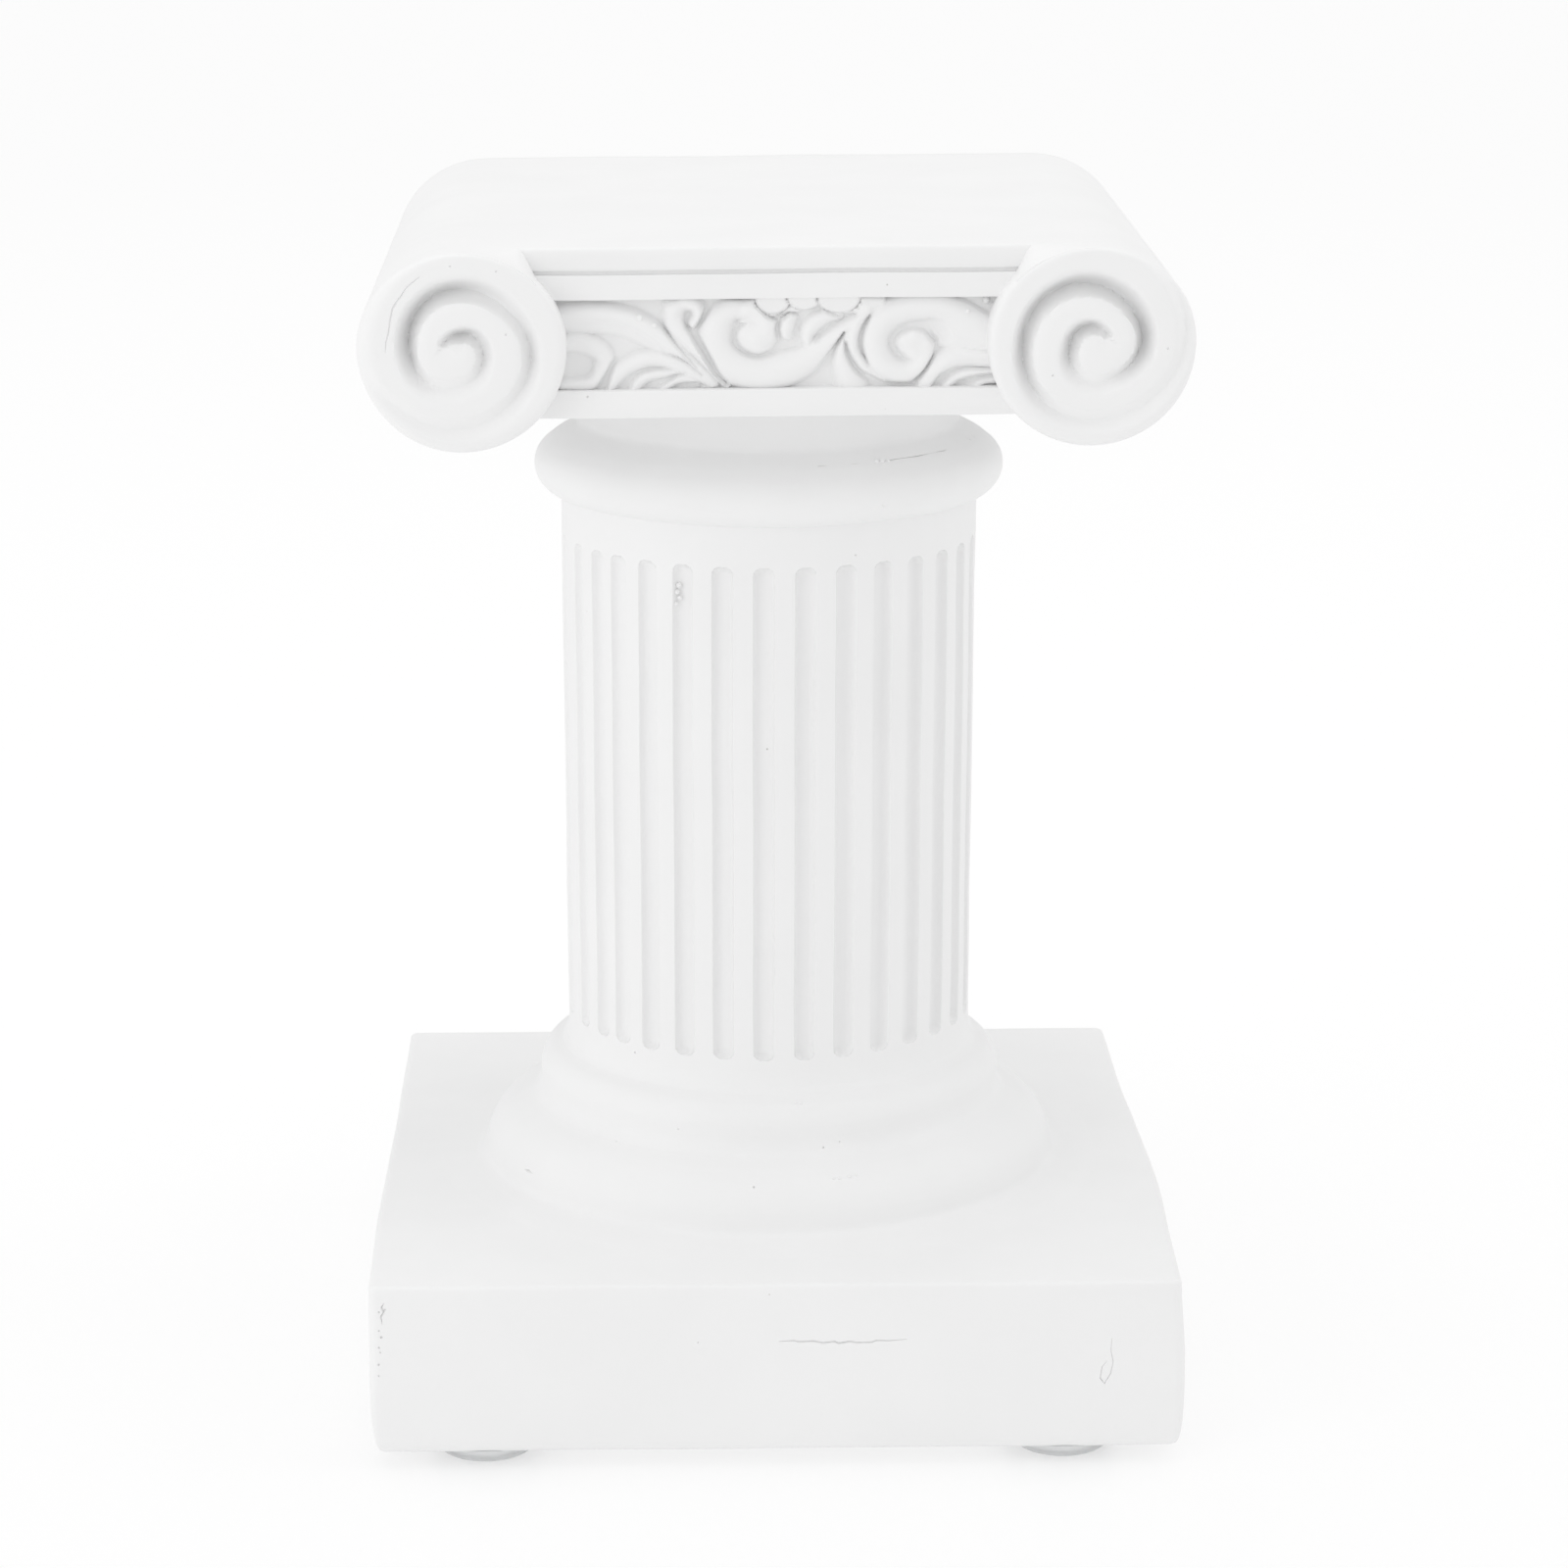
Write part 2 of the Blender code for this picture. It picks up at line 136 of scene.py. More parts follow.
# %% [markdown]
# The base rings and the neck ring are turned mouldings. Their outline is drawn with arcs, and then softened
# along its length, because a mould rounds every inner corner a little. Rings are kept where the outline
# bends and are spread out where it runs straight.

# %% Outlines for the turned mouldings


def arc(centre, reach, rise, start, end, count=40):
    angles = np.radians(np.linspace(start, end, count))
    return np.column_stack([centre[0] + reach * np.cos(angles), centre[1] + rise * np.sin(angles)])


def evenly(points, step):
    """The same line with its points a fixed step apart."""
    points = np.asarray(points, float)
    along = np.concatenate([[0.0], np.cumsum(np.hypot(*np.diff(points, axis=0).T))])
    places = np.linspace(0.0, along[-1], max(2, round(along[-1] / step) + 1))
    return np.stack([np.interp(places, along, points[:, i]) for i in range(2)], axis=1)


def softened(points, radius, step=0.06):
    """Rounds the corners of a line by sliding a bell-shaped weight along it; its ends stay."""
    line = evenly(points, step)
    reach = int(3 * radius / step)
    bell = np.exp(-0.5 * (np.arange(-reach, reach + 1) * step / radius) ** 2)
    bell /= bell.sum()
    before, after = 2 * line[0] - line[reach:0:-1], 2 * line[-1] - line[-2 : -reach - 2 : -1]
    padded = np.concatenate([before, line, after])
    return np.column_stack([np.convolve(padded[:, i], bell, "valid") for i in range(2)])


def thinned(line, bend=6.0, longest=4.0):
    """Keeps a point where the line has turned by that many degrees, or has run that far."""
    heading = np.unwrap(np.arctan2(*np.diff(line, axis=0).T[::-1]))
    kept = [0]
    for i in range(1, len(line) - 1):
        turned_by = abs(math.degrees(heading[i] - heading[kept[-1]]))
        if turned_by > bend or np.hypot(*(line[i] - line[kept[-1]])) > longest:
            kept.append(i)
    return line[kept + [len(line) - 1]]


def ring_of_shaft(r, angles, z):
    return laid_out(shaft_centre[0] + r * np.sin(angles), shaft_centre[1] - r * np.cos(angles), z)


def turned(name, outline, around):
    """Spins an outline of (radius, height) points about the shaft's axis."""
    angles = np.arange(around) * math.tau / around
    casting_parts.append(skin(name, waver([ring_of_shaft(r, angles, z) for r, z in outline])))


# %% [markdown]
# The base is a broad cushion ring on the plinth, a shallow hollow, and a smaller ring under the shaft. They
# are one outline here, so the hollow between the rings comes out as a smooth valley and not as a cut, and
# the plinth rises to the broad ring in a low soft collar.

# %% Base rings
base_columns = 160
lower_ring_belly = plinth_top + 1.3
upper_ring_middle = shaft_bottom - 3.3
base_outline = np.concatenate(
    [
        [(42.6, plinth_top - 0.9), (42.3, plinth_top - 0.03), (40.0, plinth_top + 0.1)],
        [(38.0, plinth_top + 0.28), (36.6, plinth_top + 0.55), (35.95, plinth_top + 0.85)],
        arc((29.3, lower_ring_belly), 6.35, lower_ring_top - lower_ring_belly, 0, 64),
        [(30.9, lower_ring_top - 0.15), (29.65, lower_ring_top + 0.4), (28.9, lower_ring_top + 1.35)],
        arc((26.0, upper_ring_middle), 2.75, 3.5, -16, 80),
        [(25.9, shaft_bottom + 0.45), (25.55, shaft_bottom + 1.2)],
        [(25.1, shaft_bottom + 2.2), (24.0, shaft_bottom + 2.4)],
    ]
)
turned("base rings", thinned(softened(base_outline, 0.42)), base_columns)

# %% [markdown]
# The neck is a full round ring, then a plain drum that runs up into the capital. Above its belly the ring
# slopes up to the drum as softly as the mould left it. One softened outline gives both, and the thin seam
# that runs along this slope is cut later, with the other marks.

# %% Neck ring and drum
neck_middle = (shaft_top + neck_bottom) / 2
drum_radius = 23.25
neck_outline = np.concatenate(
    [
        arc((25.3, neck_middle), 3.4, 3.4, -84, 58, 60),
        [(26.2, neck_middle + 3.6), (25.0, neck_middle + 4.15), (drum_radius + 0.35, neck_middle + 4.9)],
        [(drum_radius, neck_middle + 5.4), (drum_radius, capital_bottom - 1.2)],
        arc((drum_radius + 0.8, capital_bottom - 0.4), -0.8, 0.8, 0, 70, 8),
        [(24.3, capital_bottom + 0.8)],
    ]
)
neck_foot = [(24.2, shaft_top - 0.4)]
neck_bend = thinned(softened(neck_outline, 0.3), bend=6.5, longest=8.0)
turned("neck", np.concatenate([neck_foot, neck_bend]), base_columns)

# %% [markdown]
# The shaft carries 32 flutes that stop short of both ends. A Boolean with 32 cutters would give hard edges,
# while the real flutes have steep walls, a nearly flat floor and soft lips. So the shaft is a ring grid
# whose columns crowd at the flutes' walls, and each point is pushed in by how deep it lies inside the
# nearest round-ended slot. A few flutes on the left were cut out of step and shallower, and a table of
# slips keeps that.

# %% Fluted shaft
flute_count = 32
flute_turn = -2.6
flute_width = 2.5
flute_depth = 1.12
flute_low = shaft_bottom + 4.6 + flute_width / 2
flute_high = shaft_top - 5.0 - flute_width / 2
shaft_low_radius, shaft_high_radius = 25.13, 25.47
flare, flare_height = 0.9, 3.5
slipped_flutes = {25: (2.0, 0.6), 26: (4.3, 0.92), 27: (3.6, 1.0), 28: (1.2, 0.88), 29: (0.3, 1.05)}


def falling(share):
    """One for a share below 0, none above 1, and a soft S between."""
    return 0.5 * (1.0 + np.cos(math.pi * np.clip(share, 0.0, 1.0)))


def hollowed(inside):
    """The share of the full depth there: a flat floor, a steep wall, then a small soft lip."""
    share = inside / (flute_width / 2)
    floor_and_wall = np.sqrt(1.0 - np.clip(share, 0.0, 0.96) ** 4)
    lip = np.clip(1.0 - (share - 0.96) / 0.12, 0.0, 1.0) ** 1.7
    return floor_and_wall * np.where(share < 0.96, 1.0, lip)


flute_middles = math.radians(flute_turn) + math.tau * np.arange(flute_count) / flute_count
flute_depths = np.full(flute_count, flute_depth)
for number, (slip, depth) in slipped_flutes.items():
    flute_middles[number] += math.radians(slip)
    flute_depths[number] = depth
beside = np.array([0.0, 0.6, 0.9, 1.05, 1.13, 1.19, 1.23, 1.27, 1.33, 1.5])
offsets = np.concatenate([-beside[:0:-1], beside])
walls = flute_middles[:, None] + offsets / shaft_low_radius
lands = (flute_middles + np.append(flute_middles[1:], flute_middles[0] + math.tau)) / 2
columns = np.column_stack([walls, lands]).ravel()
across = np.tile(np.append(offsets, flute_width), flute_count)
deepest = np.repeat(flute_depths, len(offsets) + 1)
end_rows = np.array([-1.5, -1.33, -1.27, -1.23, -1.17, -1.05, -0.8, -0.4, 0.0])
flare_rows = shaft_bottom + np.array([-0.6, 0.6, 1.4, 2.4, 3.4])
middle_rows = np.linspace(flute_low + 6, flute_high - 6, 7)
low_rows, high_rows = flute_low + end_rows, flute_high - end_rows[::-1]
top_rows = [shaft_top - 2.2, shaft_top + 0.8]
heights = np.concatenate([flare_rows, low_rows, middle_rows, high_rows, top_rows])
shaft_rings = []
for z in heights:
    share = (z - shaft_bottom) / (shaft_top - shaft_bottom)
    spread = max(0.0, 1.0 - (z - shaft_bottom) / flare_height)
    radius = shaft_low_radius + (shaft_high_radius - shaft_low_radius) * share + flare * spread**2
    past_end = max(0.0, flute_low - z, z - flute_high)
    r = radius - deepest * hollowed(np.hypot(across, past_end))
    shaft_rings.append(ring_of_shaft(r, columns, z))
casting_parts.append(skin("fluted shaft", waver(shaft_rings)))

# %% [markdown]
# The plinth is a plain block, but not a box: its lower edges curve in, its top edge is barely rounded and
# its corners are soft. Rings round the block carry the sides, and rings that step inward carry the top, so
# the slow waver reaches the flat too. The right side swells by a millimetre near its middle and spreads a
# little at its foot, and the left one swells by a third of that, as the real casting's do. The underside
# was the open side of the mould, where wet plaster creeps up the wall, so a low rim runs round it.

# %% Plinth
plinth_corner = 1.1
plinth_edge = 0.55
tuck, tuck_height = 1.7, 7.0
rim_drop = 0.6
side_bulges = ((1.0, 1.0, -12.0, 26.0), (-1.0, 0.3, -22.0, 18.0))
right_spread = 0.65


def block_ring(inset, z, corner_points=7, side_points=34):
    """A rounded rectangle round the plinth, pulled in from its full size."""
    radius = max(0.25, plinth_corner - inset)
    half = np.array([plinth_half_width - inset - radius, plinth_half_depth - inset - radius])
    ring = []
    for i, (sx, sy) in enumerate(((1, -1), (1, 1), (-1, 1), (-1, -1))):
        angles = np.radians(-90 + 90 * i + np.linspace(0, 90, corner_points))
        turn = np.column_stack([np.cos(angles), np.sin(angles)])
        corner = half * (sx, sy) + radius * turn
        following = half * ((1, 1), (-1, 1), (-1, -1), (1, -1))[i] + radius * turn[-1]
        share = np.linspace(0, 1, side_points + 2)[1:-1, None]
        ring += [corner, corner[-1] * (1 - share) + following * share]
    flat = np.concatenate(ring)
    for side, swell, middle, spread in side_bulges:
        on_side = side * flat[:, 0] > half[0]
        flat[:, 0] += side * swell * np.exp(-(((flat[:, 1] - middle) / spread) ** 2)) * on_side
    low_share = falling((z - cast_bottom - 9.0) / 11.5) * falling((flat[:, 1] + 50.0) / 70.0)
    flat[:, 0] += right_spread * low_share * falling((46.0 - flat[:, 0]) / 20.0)
    return laid_out(flat[:, 0], flat[:, 1], z)


rim_bottom = cast_bottom - rim_drop
plinth_rings = [block_ring(tuck + inset, cast_bottom) for inset in (36.0, 20.0, 8.0, 3.0, 1.6)]
plinth_rings.append(block_ring(tuck + 1.1, cast_bottom - 0.8 * rim_drop))
plinth_rings.append(block_ring(tuck + 0.5, rim_bottom))
for share in np.linspace(1.0, 0.0, 12):
    inward = tuck * (1.0 - math.sqrt(1.0 - (share * 0.985) ** 2))
    rise = (tuck_height + rim_drop) * (1 - share) ** 1.5 + 0.12 * (share < 1)
    plinth_rings.append(block_ring(inward, rim_bottom + rise))
for z in (cast_bottom + 11.0, cast_bottom + 14.0, cast_bottom + 17.0, plinth_top - 1.4):
    plinth_rings.append(block_ring(0.0, z))
for turn in np.radians(np.linspace(0, 90, 5)):
    inward = plinth_edge * (1 - math.cos(turn))
    plinth_rings.append(block_ring(inward, plinth_top - plinth_edge * (1 - math.sin(turn))))
for inset in (1.2, 2.4, 4.5, 8.0, 13.0, 20.0, 28.0, 38.0):
    plinth_rings.append(block_ring(inset, plinth_top))
casting_parts.append(skin("plinth", waver(plinth_rings)))

# %% [markdown]
# The capital's beam is one section, swept from scroll to scroll: a rounded lip over a dark line, a flat
# band, the sunk frieze and a lower band. The section is written as how far each point stands out of the
# front face, and the back repeats it.

# %% Beam of the capital
capital_front, capital_back = -41.6, 47.8
frieze_bottom = capital_bottom + 3.2
frieze_top = frieze_bottom + 10.3
lip_line = frieze_top + 3.3
slab_top = capital_top - 0.03
scroll_x, scroll_radius = 35.48, 11.78
face_section = np.array(
    [
        (-0.50, capital_bottom), (-0.16, capital_bottom + 0.08), (0.0, capital_bottom + 0.40),
        (0.0, frieze_bottom - 0.22), (-0.05, frieze_bottom - 0.06), (-0.2, frieze_bottom),
        (-2.3, frieze_bottom), (-2.3, frieze_top), (-0.12, frieze_top), (-0.02, frieze_top + 0.08),
        (0.0, frieze_top + 0.3), (-0.06, lip_line - 0.75), (-0.16, lip_line - 0.52),
        (-0.7, lip_line - 0.46), (-0.7, lip_line - 0.06), (-0.30, lip_line), (-0.20, lip_line + 0.12),
        (-0.11, lip_line + 0.45), (-0.02, lip_line + 1.0), (0.03, lip_line + 1.6), (0.0, slab_top - 0.42),
        (-0.09, slab_top - 0.16), (-0.22, slab_top - 0.04), (-0.42, slab_top),
    ]
)
front_section = np.column_stack([capital_front - face_section[:, 0], face_section[:, 1]])
back_section = np.column_stack([capital_back + face_section[::-1, 0], face_section[::-1, 1]])
flats = np.linspace(0, 1, 16)[1:-1, None]
over = front_section[-1] * (1 - flats) + back_section[0] * flats
under = back_section[-1] * (1 - flats) + front_section[0] * flats
section = np.concatenate([front_section, over, back_section, under])
stations = shaft_centre[0] + np.linspace(-scroll_x, scroll_x, 25)
beam_rings = [laid_out(x, section[:, 0], section[:, 1]) for x in stations]
capital_parts = [skin("beam", waver(beam_rings))]

# %% [markdown]
# The frieze is a low relief of scrolling leaves, a wave, petals and a spiral. A carver lays out such a
# thing in strokes: rounded forms first, then the lines cut between them. Each stroke here is a few (along,
# up, half width, height) points on a sheet as large as the frieze, in millimetres from the foot of its
# middle. They are strung on a smooth curve, and the forms keep the greatest height and the cuts take the
# deepest bite.

# %% Strokes of the frieze: forms
forms = {
    "big leaf": [(-24.5, 8.4, 1.22, 0.95), (-21.4, 8.7, 1.11, 1.1), (-18.3, 8.5, 1.11, 1.15),
        (-15.6, 7.7, 1.11, 1.15), (-13.0, 5.9, 1.0, 1.1), (-10.3, 3.6, 0.72, 0.95), (-8.3, 1.8, 0.5, 0.8),
        (-7.0, 0.4, 0.39, 0.6)],
    "big leaf's underside": [(-24.1, 7.5, 1.0, 0.7), (-20.7, 7.4, 1.0, 0.75), (-17.4, 7.0, 1.0, 0.7),
        (-14.5, 5.6, 0.89, 0.6), (-11.4, 3.7, 0.56, 0.5)],
    "curled leaf": [(-24.5, 5.2, 1.0, 0.9), (-22.3, 5.3, 1.11, 1.0), (-20.5, 4.7, 1.11, 1.05),
        (-19.5, 3.5, 1.06, 1.05), (-20.1, 1.8, 1.0, 1.0), (-21.4, 0.7, 0.89, 0.9), (-24.3, 0.5, 0.67, 0.8)],
    "low leaf": [(-19.2, -0.1, 0.67, 0.85), (-18.2, 1.5, 0.89, 0.95), (-16.6, 2.8, 0.94, 1.0),
        (-14.3, 3.5, 0.94, 1.0), (-11.9, 3.1, 0.89, 0.95), (-9.7, 1.8, 0.72, 0.85), (-7.4, 0.3, 0.44, 0.6)],
    "second low leaf": [(-16.3, -0.1, 0.67, 0.7), (-15.2, 1.2, 0.72, 0.8), (-13.4, 1.7, 0.61, 0.8),
        (-11.2, 1.5, 0.56, 0.8), (-8.8, 0.4, 0.33, 0.6)],
    "third low leaf": [(-13.2, -0.2, 0.56, 0.6), (-11.7, 0.8, 0.56, 0.7), (-9.9, 0.9, 0.44, 0.65),
        (-7.9, 0.2, 0.33, 0.5)],
    "bud's stem": [(-5.7, 0.3, 0.44, 0.8), (-7.0, 2.0, 0.61, 1.0), (-8.5, 3.9, 0.78, 1.1),
        (-10.2, 5.8, 1.0, 1.15), (-11.4, 7.5, 1.22, 1.15), (-11.7, 9.1, 1.22, 1.1)],
    "bud's curl": [(-11.7, 8.9, 1.11, 1.1), (-10.5, 9.7, 0.89, 1.15), (-9.1, 9.4, 0.83, 1.15),
        (-8.8, 8.3, 0.67, 1.1), (-9.4, 7.3, 0.56, 1.0)],
    "wave": [(-2.8, 8.8, 1.11, 0.95), (-4.8, 9.0, 1.22, 1.1), (-6.2, 8.1, 1.44, 1.2),
        (-6.9, 6.4, 1.78, 1.25), (-6.6, 4.3, 1.78, 1.25), (-5.0, 2.5, 1.89, 1.2), (-2.3, 1.6, 1.89, 1.2),
        (0.8, 2.0, 1.89, 1.2), (3.9, 3.4, 1.56, 1.15), (6.3, 5.3, 1.11, 1.05), (8.5, 7.2, 0.67, 0.95),
        (10.5, 8.4, 0.44, 0.8)],
    "wave's knob": [(-2.7, 6.1, 1.89, 1.1), (-2.2, 5.8, 2.0, 1.2), (-2.0, 6.0, 1.89, 1.1)],
    "wave's curl": [(-3.0, 9.1, 1.22, 1.15), (-1.9, 8.5, 1.33, 1.15), (-1.1, 7.4, 1.33, 1.15),
        (-1.1, 6.1, 1.44, 1.15), (-1.9, 5.4, 1.56, 1.15)],
    "tongue": [(2.0, 8.8, 0.67, 0.9), (1.4, 7.8, 0.89, 1.05), (1.1, 6.8, 0.94, 1.1),
        (1.1, 6.1, 0.78, 0.95)],
    "folded leaf": [(3.5, 4.9, 0.44, 0.8), (3.5, 6.1, 0.78, 0.95), (4.1, 7.1, 0.94, 1.05),
        (5.4, 8.0, 0.89, 1.0), (7.2, 8.3, 0.56, 0.9)],
    "third petal's tail": [(8.1, 9.6, 1.33, 1.0), (10.1, 9.4, 1.11, 1.05), (11.8, 9.7, 0.67, 0.9)],
    "first blade": [(8.1, 6.2, 0.33, 0.8), (7.4, 4.6, 0.56, 0.9), (7.3, 3.3, 0.89, 0.95),
        (7.8, 1.7, 1.33, 0.95), (8.5, -0.1, 1.78, 0.85)],
    "second blade": [(10.3, 8.9, 0.56, 0.9), (9.2, 7.3, 0.67, 1.0), (8.6, 5.6, 0.72, 1.0),
        (8.8, 3.9, 0.67, 1.0), (10.1, 2.1, 0.67, 0.95), (11.8, 0.6, 0.56, 0.8)],
    "spiral": [(24.5, 5.9, 1.67, 1.0), (21.8, 7.5, 1.78, 1.15), (18.7, 8.9, 1.56, 1.25),
        (15.4, 9.0, 1.5, 1.25), (12.7, 8.1, 1.56, 1.25), (11.2, 6.1, 1.56, 1.25), (11.3, 3.9, 1.56, 1.2),
        (12.6, 2.1, 1.39, 1.15), (14.6, 1.5, 1.28, 1.1), (16.3, 2.4, 1.22, 1.1), (17.0, 4.0, 1.11, 1.1),
        (16.7, 5.3, 1.0, 1.1), (15.6, 5.9, 0.89, 1.15)],
    "spiral's eye": [(14.5, 5.1, 1.0, 1.05), (15.0, 5.0, 1.39, 1.2), (15.7, 4.3, 1.33, 1.15)],
    "web beside the spiral": [(18.7, 6.4, 1.56, 0.7), (21.2, 5.6, 1.89, 0.8), (24.5, 4.7, 1.67, 0.8)],
    "right stem": [(24.5, 3.3, 1.33, 0.95), (21.8, 3.5, 1.22, 1.0), (19.6, 3.1, 1.22, 1.05),
        (17.9, 1.7, 1.11, 1.0), (16.6, -0.1, 1.0, 0.85)],
    "right leaf": [(19.1, -0.2, 0.56, 0.6), (20.2, 0.9, 0.56, 0.75), (22.0, 1.5, 0.56, 0.8),
        (24.5, 1.6, 0.44, 0.8)],
    "right leaf below": [(22.2, -0.4, 0.56, 0.5), (23.3, 0.4, 0.44, 0.6), (24.7, 0.6, 0.44, 0.6)],
}
petals = [(-0.4, 10.1, 2.14, 1.83), (3.2, 10.2, 2.1, 1.45), (7.1, 10.2, 2.66, 1.9)]
print(len(forms), "forms and", len(petals), "petals in the frieze")

# %% [markdown]
# The cuts are what makes a low relief read from a step away: a deep dark line beside a form does more than
# the form's own height. Each has its half width and how deep it goes.

# %% Strokes of the frieze: cuts
cuts = {
    "under the bud": [(-10.0, 7.0, 0.28, 0.9), (-9.0, 5.6, 0.5, 1.3), (-7.9, 3.7, 0.5, 1.3),
        (-6.7, 1.6, 0.39, 1.2), (-5.6, 0.4, 0.22, 0.7)],
    "beside the bud": [(-7.3, 10.3, 0.5, 1.3), (-7.9, 8.7, 0.39, 1.2), (-9.0, 6.8, 0.28, 0.9)],
    "inside the bud": [(-9.9, 8.7, 0.22, 0.5), (-10.3, 7.9, 0.28, 0.8), (-10.1, 7.0, 0.28, 0.8)],
    "along the bud's stem": [(-13.3, 8.2, 0.33, 0.9), (-12.3, 6.4, 0.24, 0.6), (-10.8, 4.4, 0.2, 0.4),
        (-8.8, 2.3, 0.14, 0.2)],
    "under the big leaf's tip": [(-12.8, 4.0, 0.17, 0.2), (-10.8, 3.4, 0.18, 0.35), (-8.4, 1.5, 0.14, 0.2)],
    "before the low leaf": [(-16.5, 4.1, 0.22, 0.6), (-18.2, 3.3, 0.33, 1.0), (-19.1, 1.7, 0.44, 1.2),
        (-20.0, -0.3, 0.78, 1.3)],
    "first low line": [(-17.3, -0.4, 0.42, 1.0), (-16.4, 1.1, 0.33, 0.8), (-14.9, 2.1, 0.24, 0.5),
        (-12.1, 2.3, 0.14, 0.15)],
    "second low line": [(-14.2, -0.4, 0.47, 1.0), (-13.2, 0.6, 0.44, 0.9), (-11.7, 1.4, 0.33, 0.7),
        (-10.3, 1.7, 0.17, 0.2)],
    "third low line": [(-11.7, 0.2, 0.17, 0.3), (-10.3, 0.4, 0.33, 0.8), (-9.0, 0.5, 0.28, 0.7),
        (-7.9, 0.1, 0.14, 0.2)],
    "round the wave's knob": [(-3.5, 7.3, 0.17, 0.4), (-4.3, 6.9, 0.33, 0.9), (-4.8, 6.0, 0.42, 1.1),
        (-4.6, 4.9, 0.4, 1.1), (-3.6, 4.0, 0.33, 1.0), (-2.1, 3.6, 0.29, 0.8), (-0.4, 4.0, 0.39, 0.5)],
    "left of the tongue": [(0.4, 7.8, 0.33, 0.8), (0.1, 6.6, 0.39, 1.1), (0.4, 5.4, 0.39, 0.8)],
    "right of the tongue": [(5.0, 8.7, 0.22, 0.5), (3.2, 8.3, 0.33, 0.9), (2.4, 7.2, 0.33, 0.9),
        (2.0, 5.6, 0.28, 0.6)],
    "under the petals": [(-2.0, 9.3, 0.18, 0.5), (-1.0, 8.2, 0.2, 0.7), (0.4, 7.8, 0.24, 0.9),
        (1.6, 8.5, 0.22, 0.8), (3.0, 8.2, 0.22, 0.7), (4.6, 8.7, 0.2, 0.6)],
    "under the third petal": [(5.2, 8.9, 0.2, 0.5), (7.0, 8.1, 0.22, 0.5), (8.9, 8.2, 0.17, 0.3)],
    "fold": [(7.6, 7.7, 0.17, 0.3), (6.1, 6.9, 0.24, 0.5), (4.5, 5.2, 0.22, 0.3)],
    "hollow under the tongue": [(0.3, 4.7, 0.67, 0.5), (2.1, 4.9, 0.67, 0.5)],
    "wedge": [(7.7, 6.2, 0.17, 0.9), (6.7, 4.7, 0.28, 1.2), (5.8, 3.1, 0.56, 1.4), (5.1, 1.3, 1.0, 1.4),
        (4.7, -0.2, 1.33, 1.4)],
    "between the blades": [(7.7, 5.2, 0.17, 0.5), (8.2, 3.5, 0.36, 0.9), (9.4, 1.7, 0.39, 1.0),
        (11.8, 0.4, 0.36, 1.0)],
    "before the spiral": [(10.6, 8.1, 0.22, 0.5), (9.7, 6.2, 0.33, 0.9), (9.6, 4.4, 0.31, 0.8),
        (10.4, 2.4, 0.17, 0.15)],
    "spiral's groove": [(14.0, 3.4, 0.28, 0.7), (13.3, 4.2, 0.44, 1.3), (13.0, 5.2, 0.48, 1.5),
        (13.8, 6.2, 0.44, 1.5), (15.1, 6.8, 0.42, 1.5), (16.7, 6.6, 0.39, 1.4), (17.6, 5.6, 0.36, 1.2),
        (18.1, 4.9, 0.29, 0.9), (17.7, 3.4, 0.26, 0.8), (16.6, 1.6, 0.27, 0.8), (15.4, 0.4, 0.29, 0.9)],
    "hollow beside the spiral": [(17.4, 7.3, 0.78, 0.35), (18.3, 6.6, 1.0, 0.5), (19.1, 5.6, 0.89, 0.3)],
    "under the spiral": [(11.1, 0.3, 0.28, 0.9), (13.5, 0.2, 0.31, 1.0), (15.7, 0.3, 0.28, 0.8)],
    "over the big leaf": [(-17.9, 10.0, 0.22, 1.2), (-15.3, 9.7, 0.56, 1.3), (-13.4, 9.3, 0.78, 1.3)],
    "over the wave": [(-7.9, 10.2, 0.28, 1.2), (-2.8, 10.3, 0.28, 1.1)],
    "over the third petal": [(5.7, 10.6, 0.33, 1.3), (9.6, 10.6, 0.39, 1.3), (13.8, 10.6, 0.22, 1.0)],
    "corner over the spiral": [(19.6, 10.6, 0.28, 1.3), (21.8, 10.2, 0.67, 1.4), (24.2, 9.3, 1.22, 1.4)],
    "right stem's line": [(21.1, 4.4, 0.13, 0.1), (24.2, 3.9, 0.18, 0.25)],
    "first right line": [(17.9, -0.1, 0.44, 0.9), (18.7, 1.2, 0.33, 0.7), (20.5, 2.0, 0.22, 0.45),
        (24.5, 2.0, 0.17, 0.25)],
    "second right line": [(20.5, -0.1, 0.33, 0.7), (21.6, 0.5, 0.36, 0.8), (22.9, 1.1, 0.22, 0.5),
        (24.5, 1.3, 0.2, 0.4)],
    "left cup": [(-22.9, 2.5, 1.44, 1.0), (-21.8, 2.4, 1.22, 1.0)],
}
print(len(cuts), "cuts between them")

# %% [markdown]
# The relief is worked out as heights over a fine grid, then given a back and sides so that it is a closed
# slab, a little larger than the opening in the beam. The back of the capital has the same relief, seen from
# behind, on a coarser grid.

# %% Relief of the frieze
frieze_recess = 1.95
form_lift = 1.38
form_spread = 1.12
cut_bite = 1.6
form_blend = 5
petal_cup, petal_lip = 1.30, 0.32
opening = scroll_x - scroll_radius


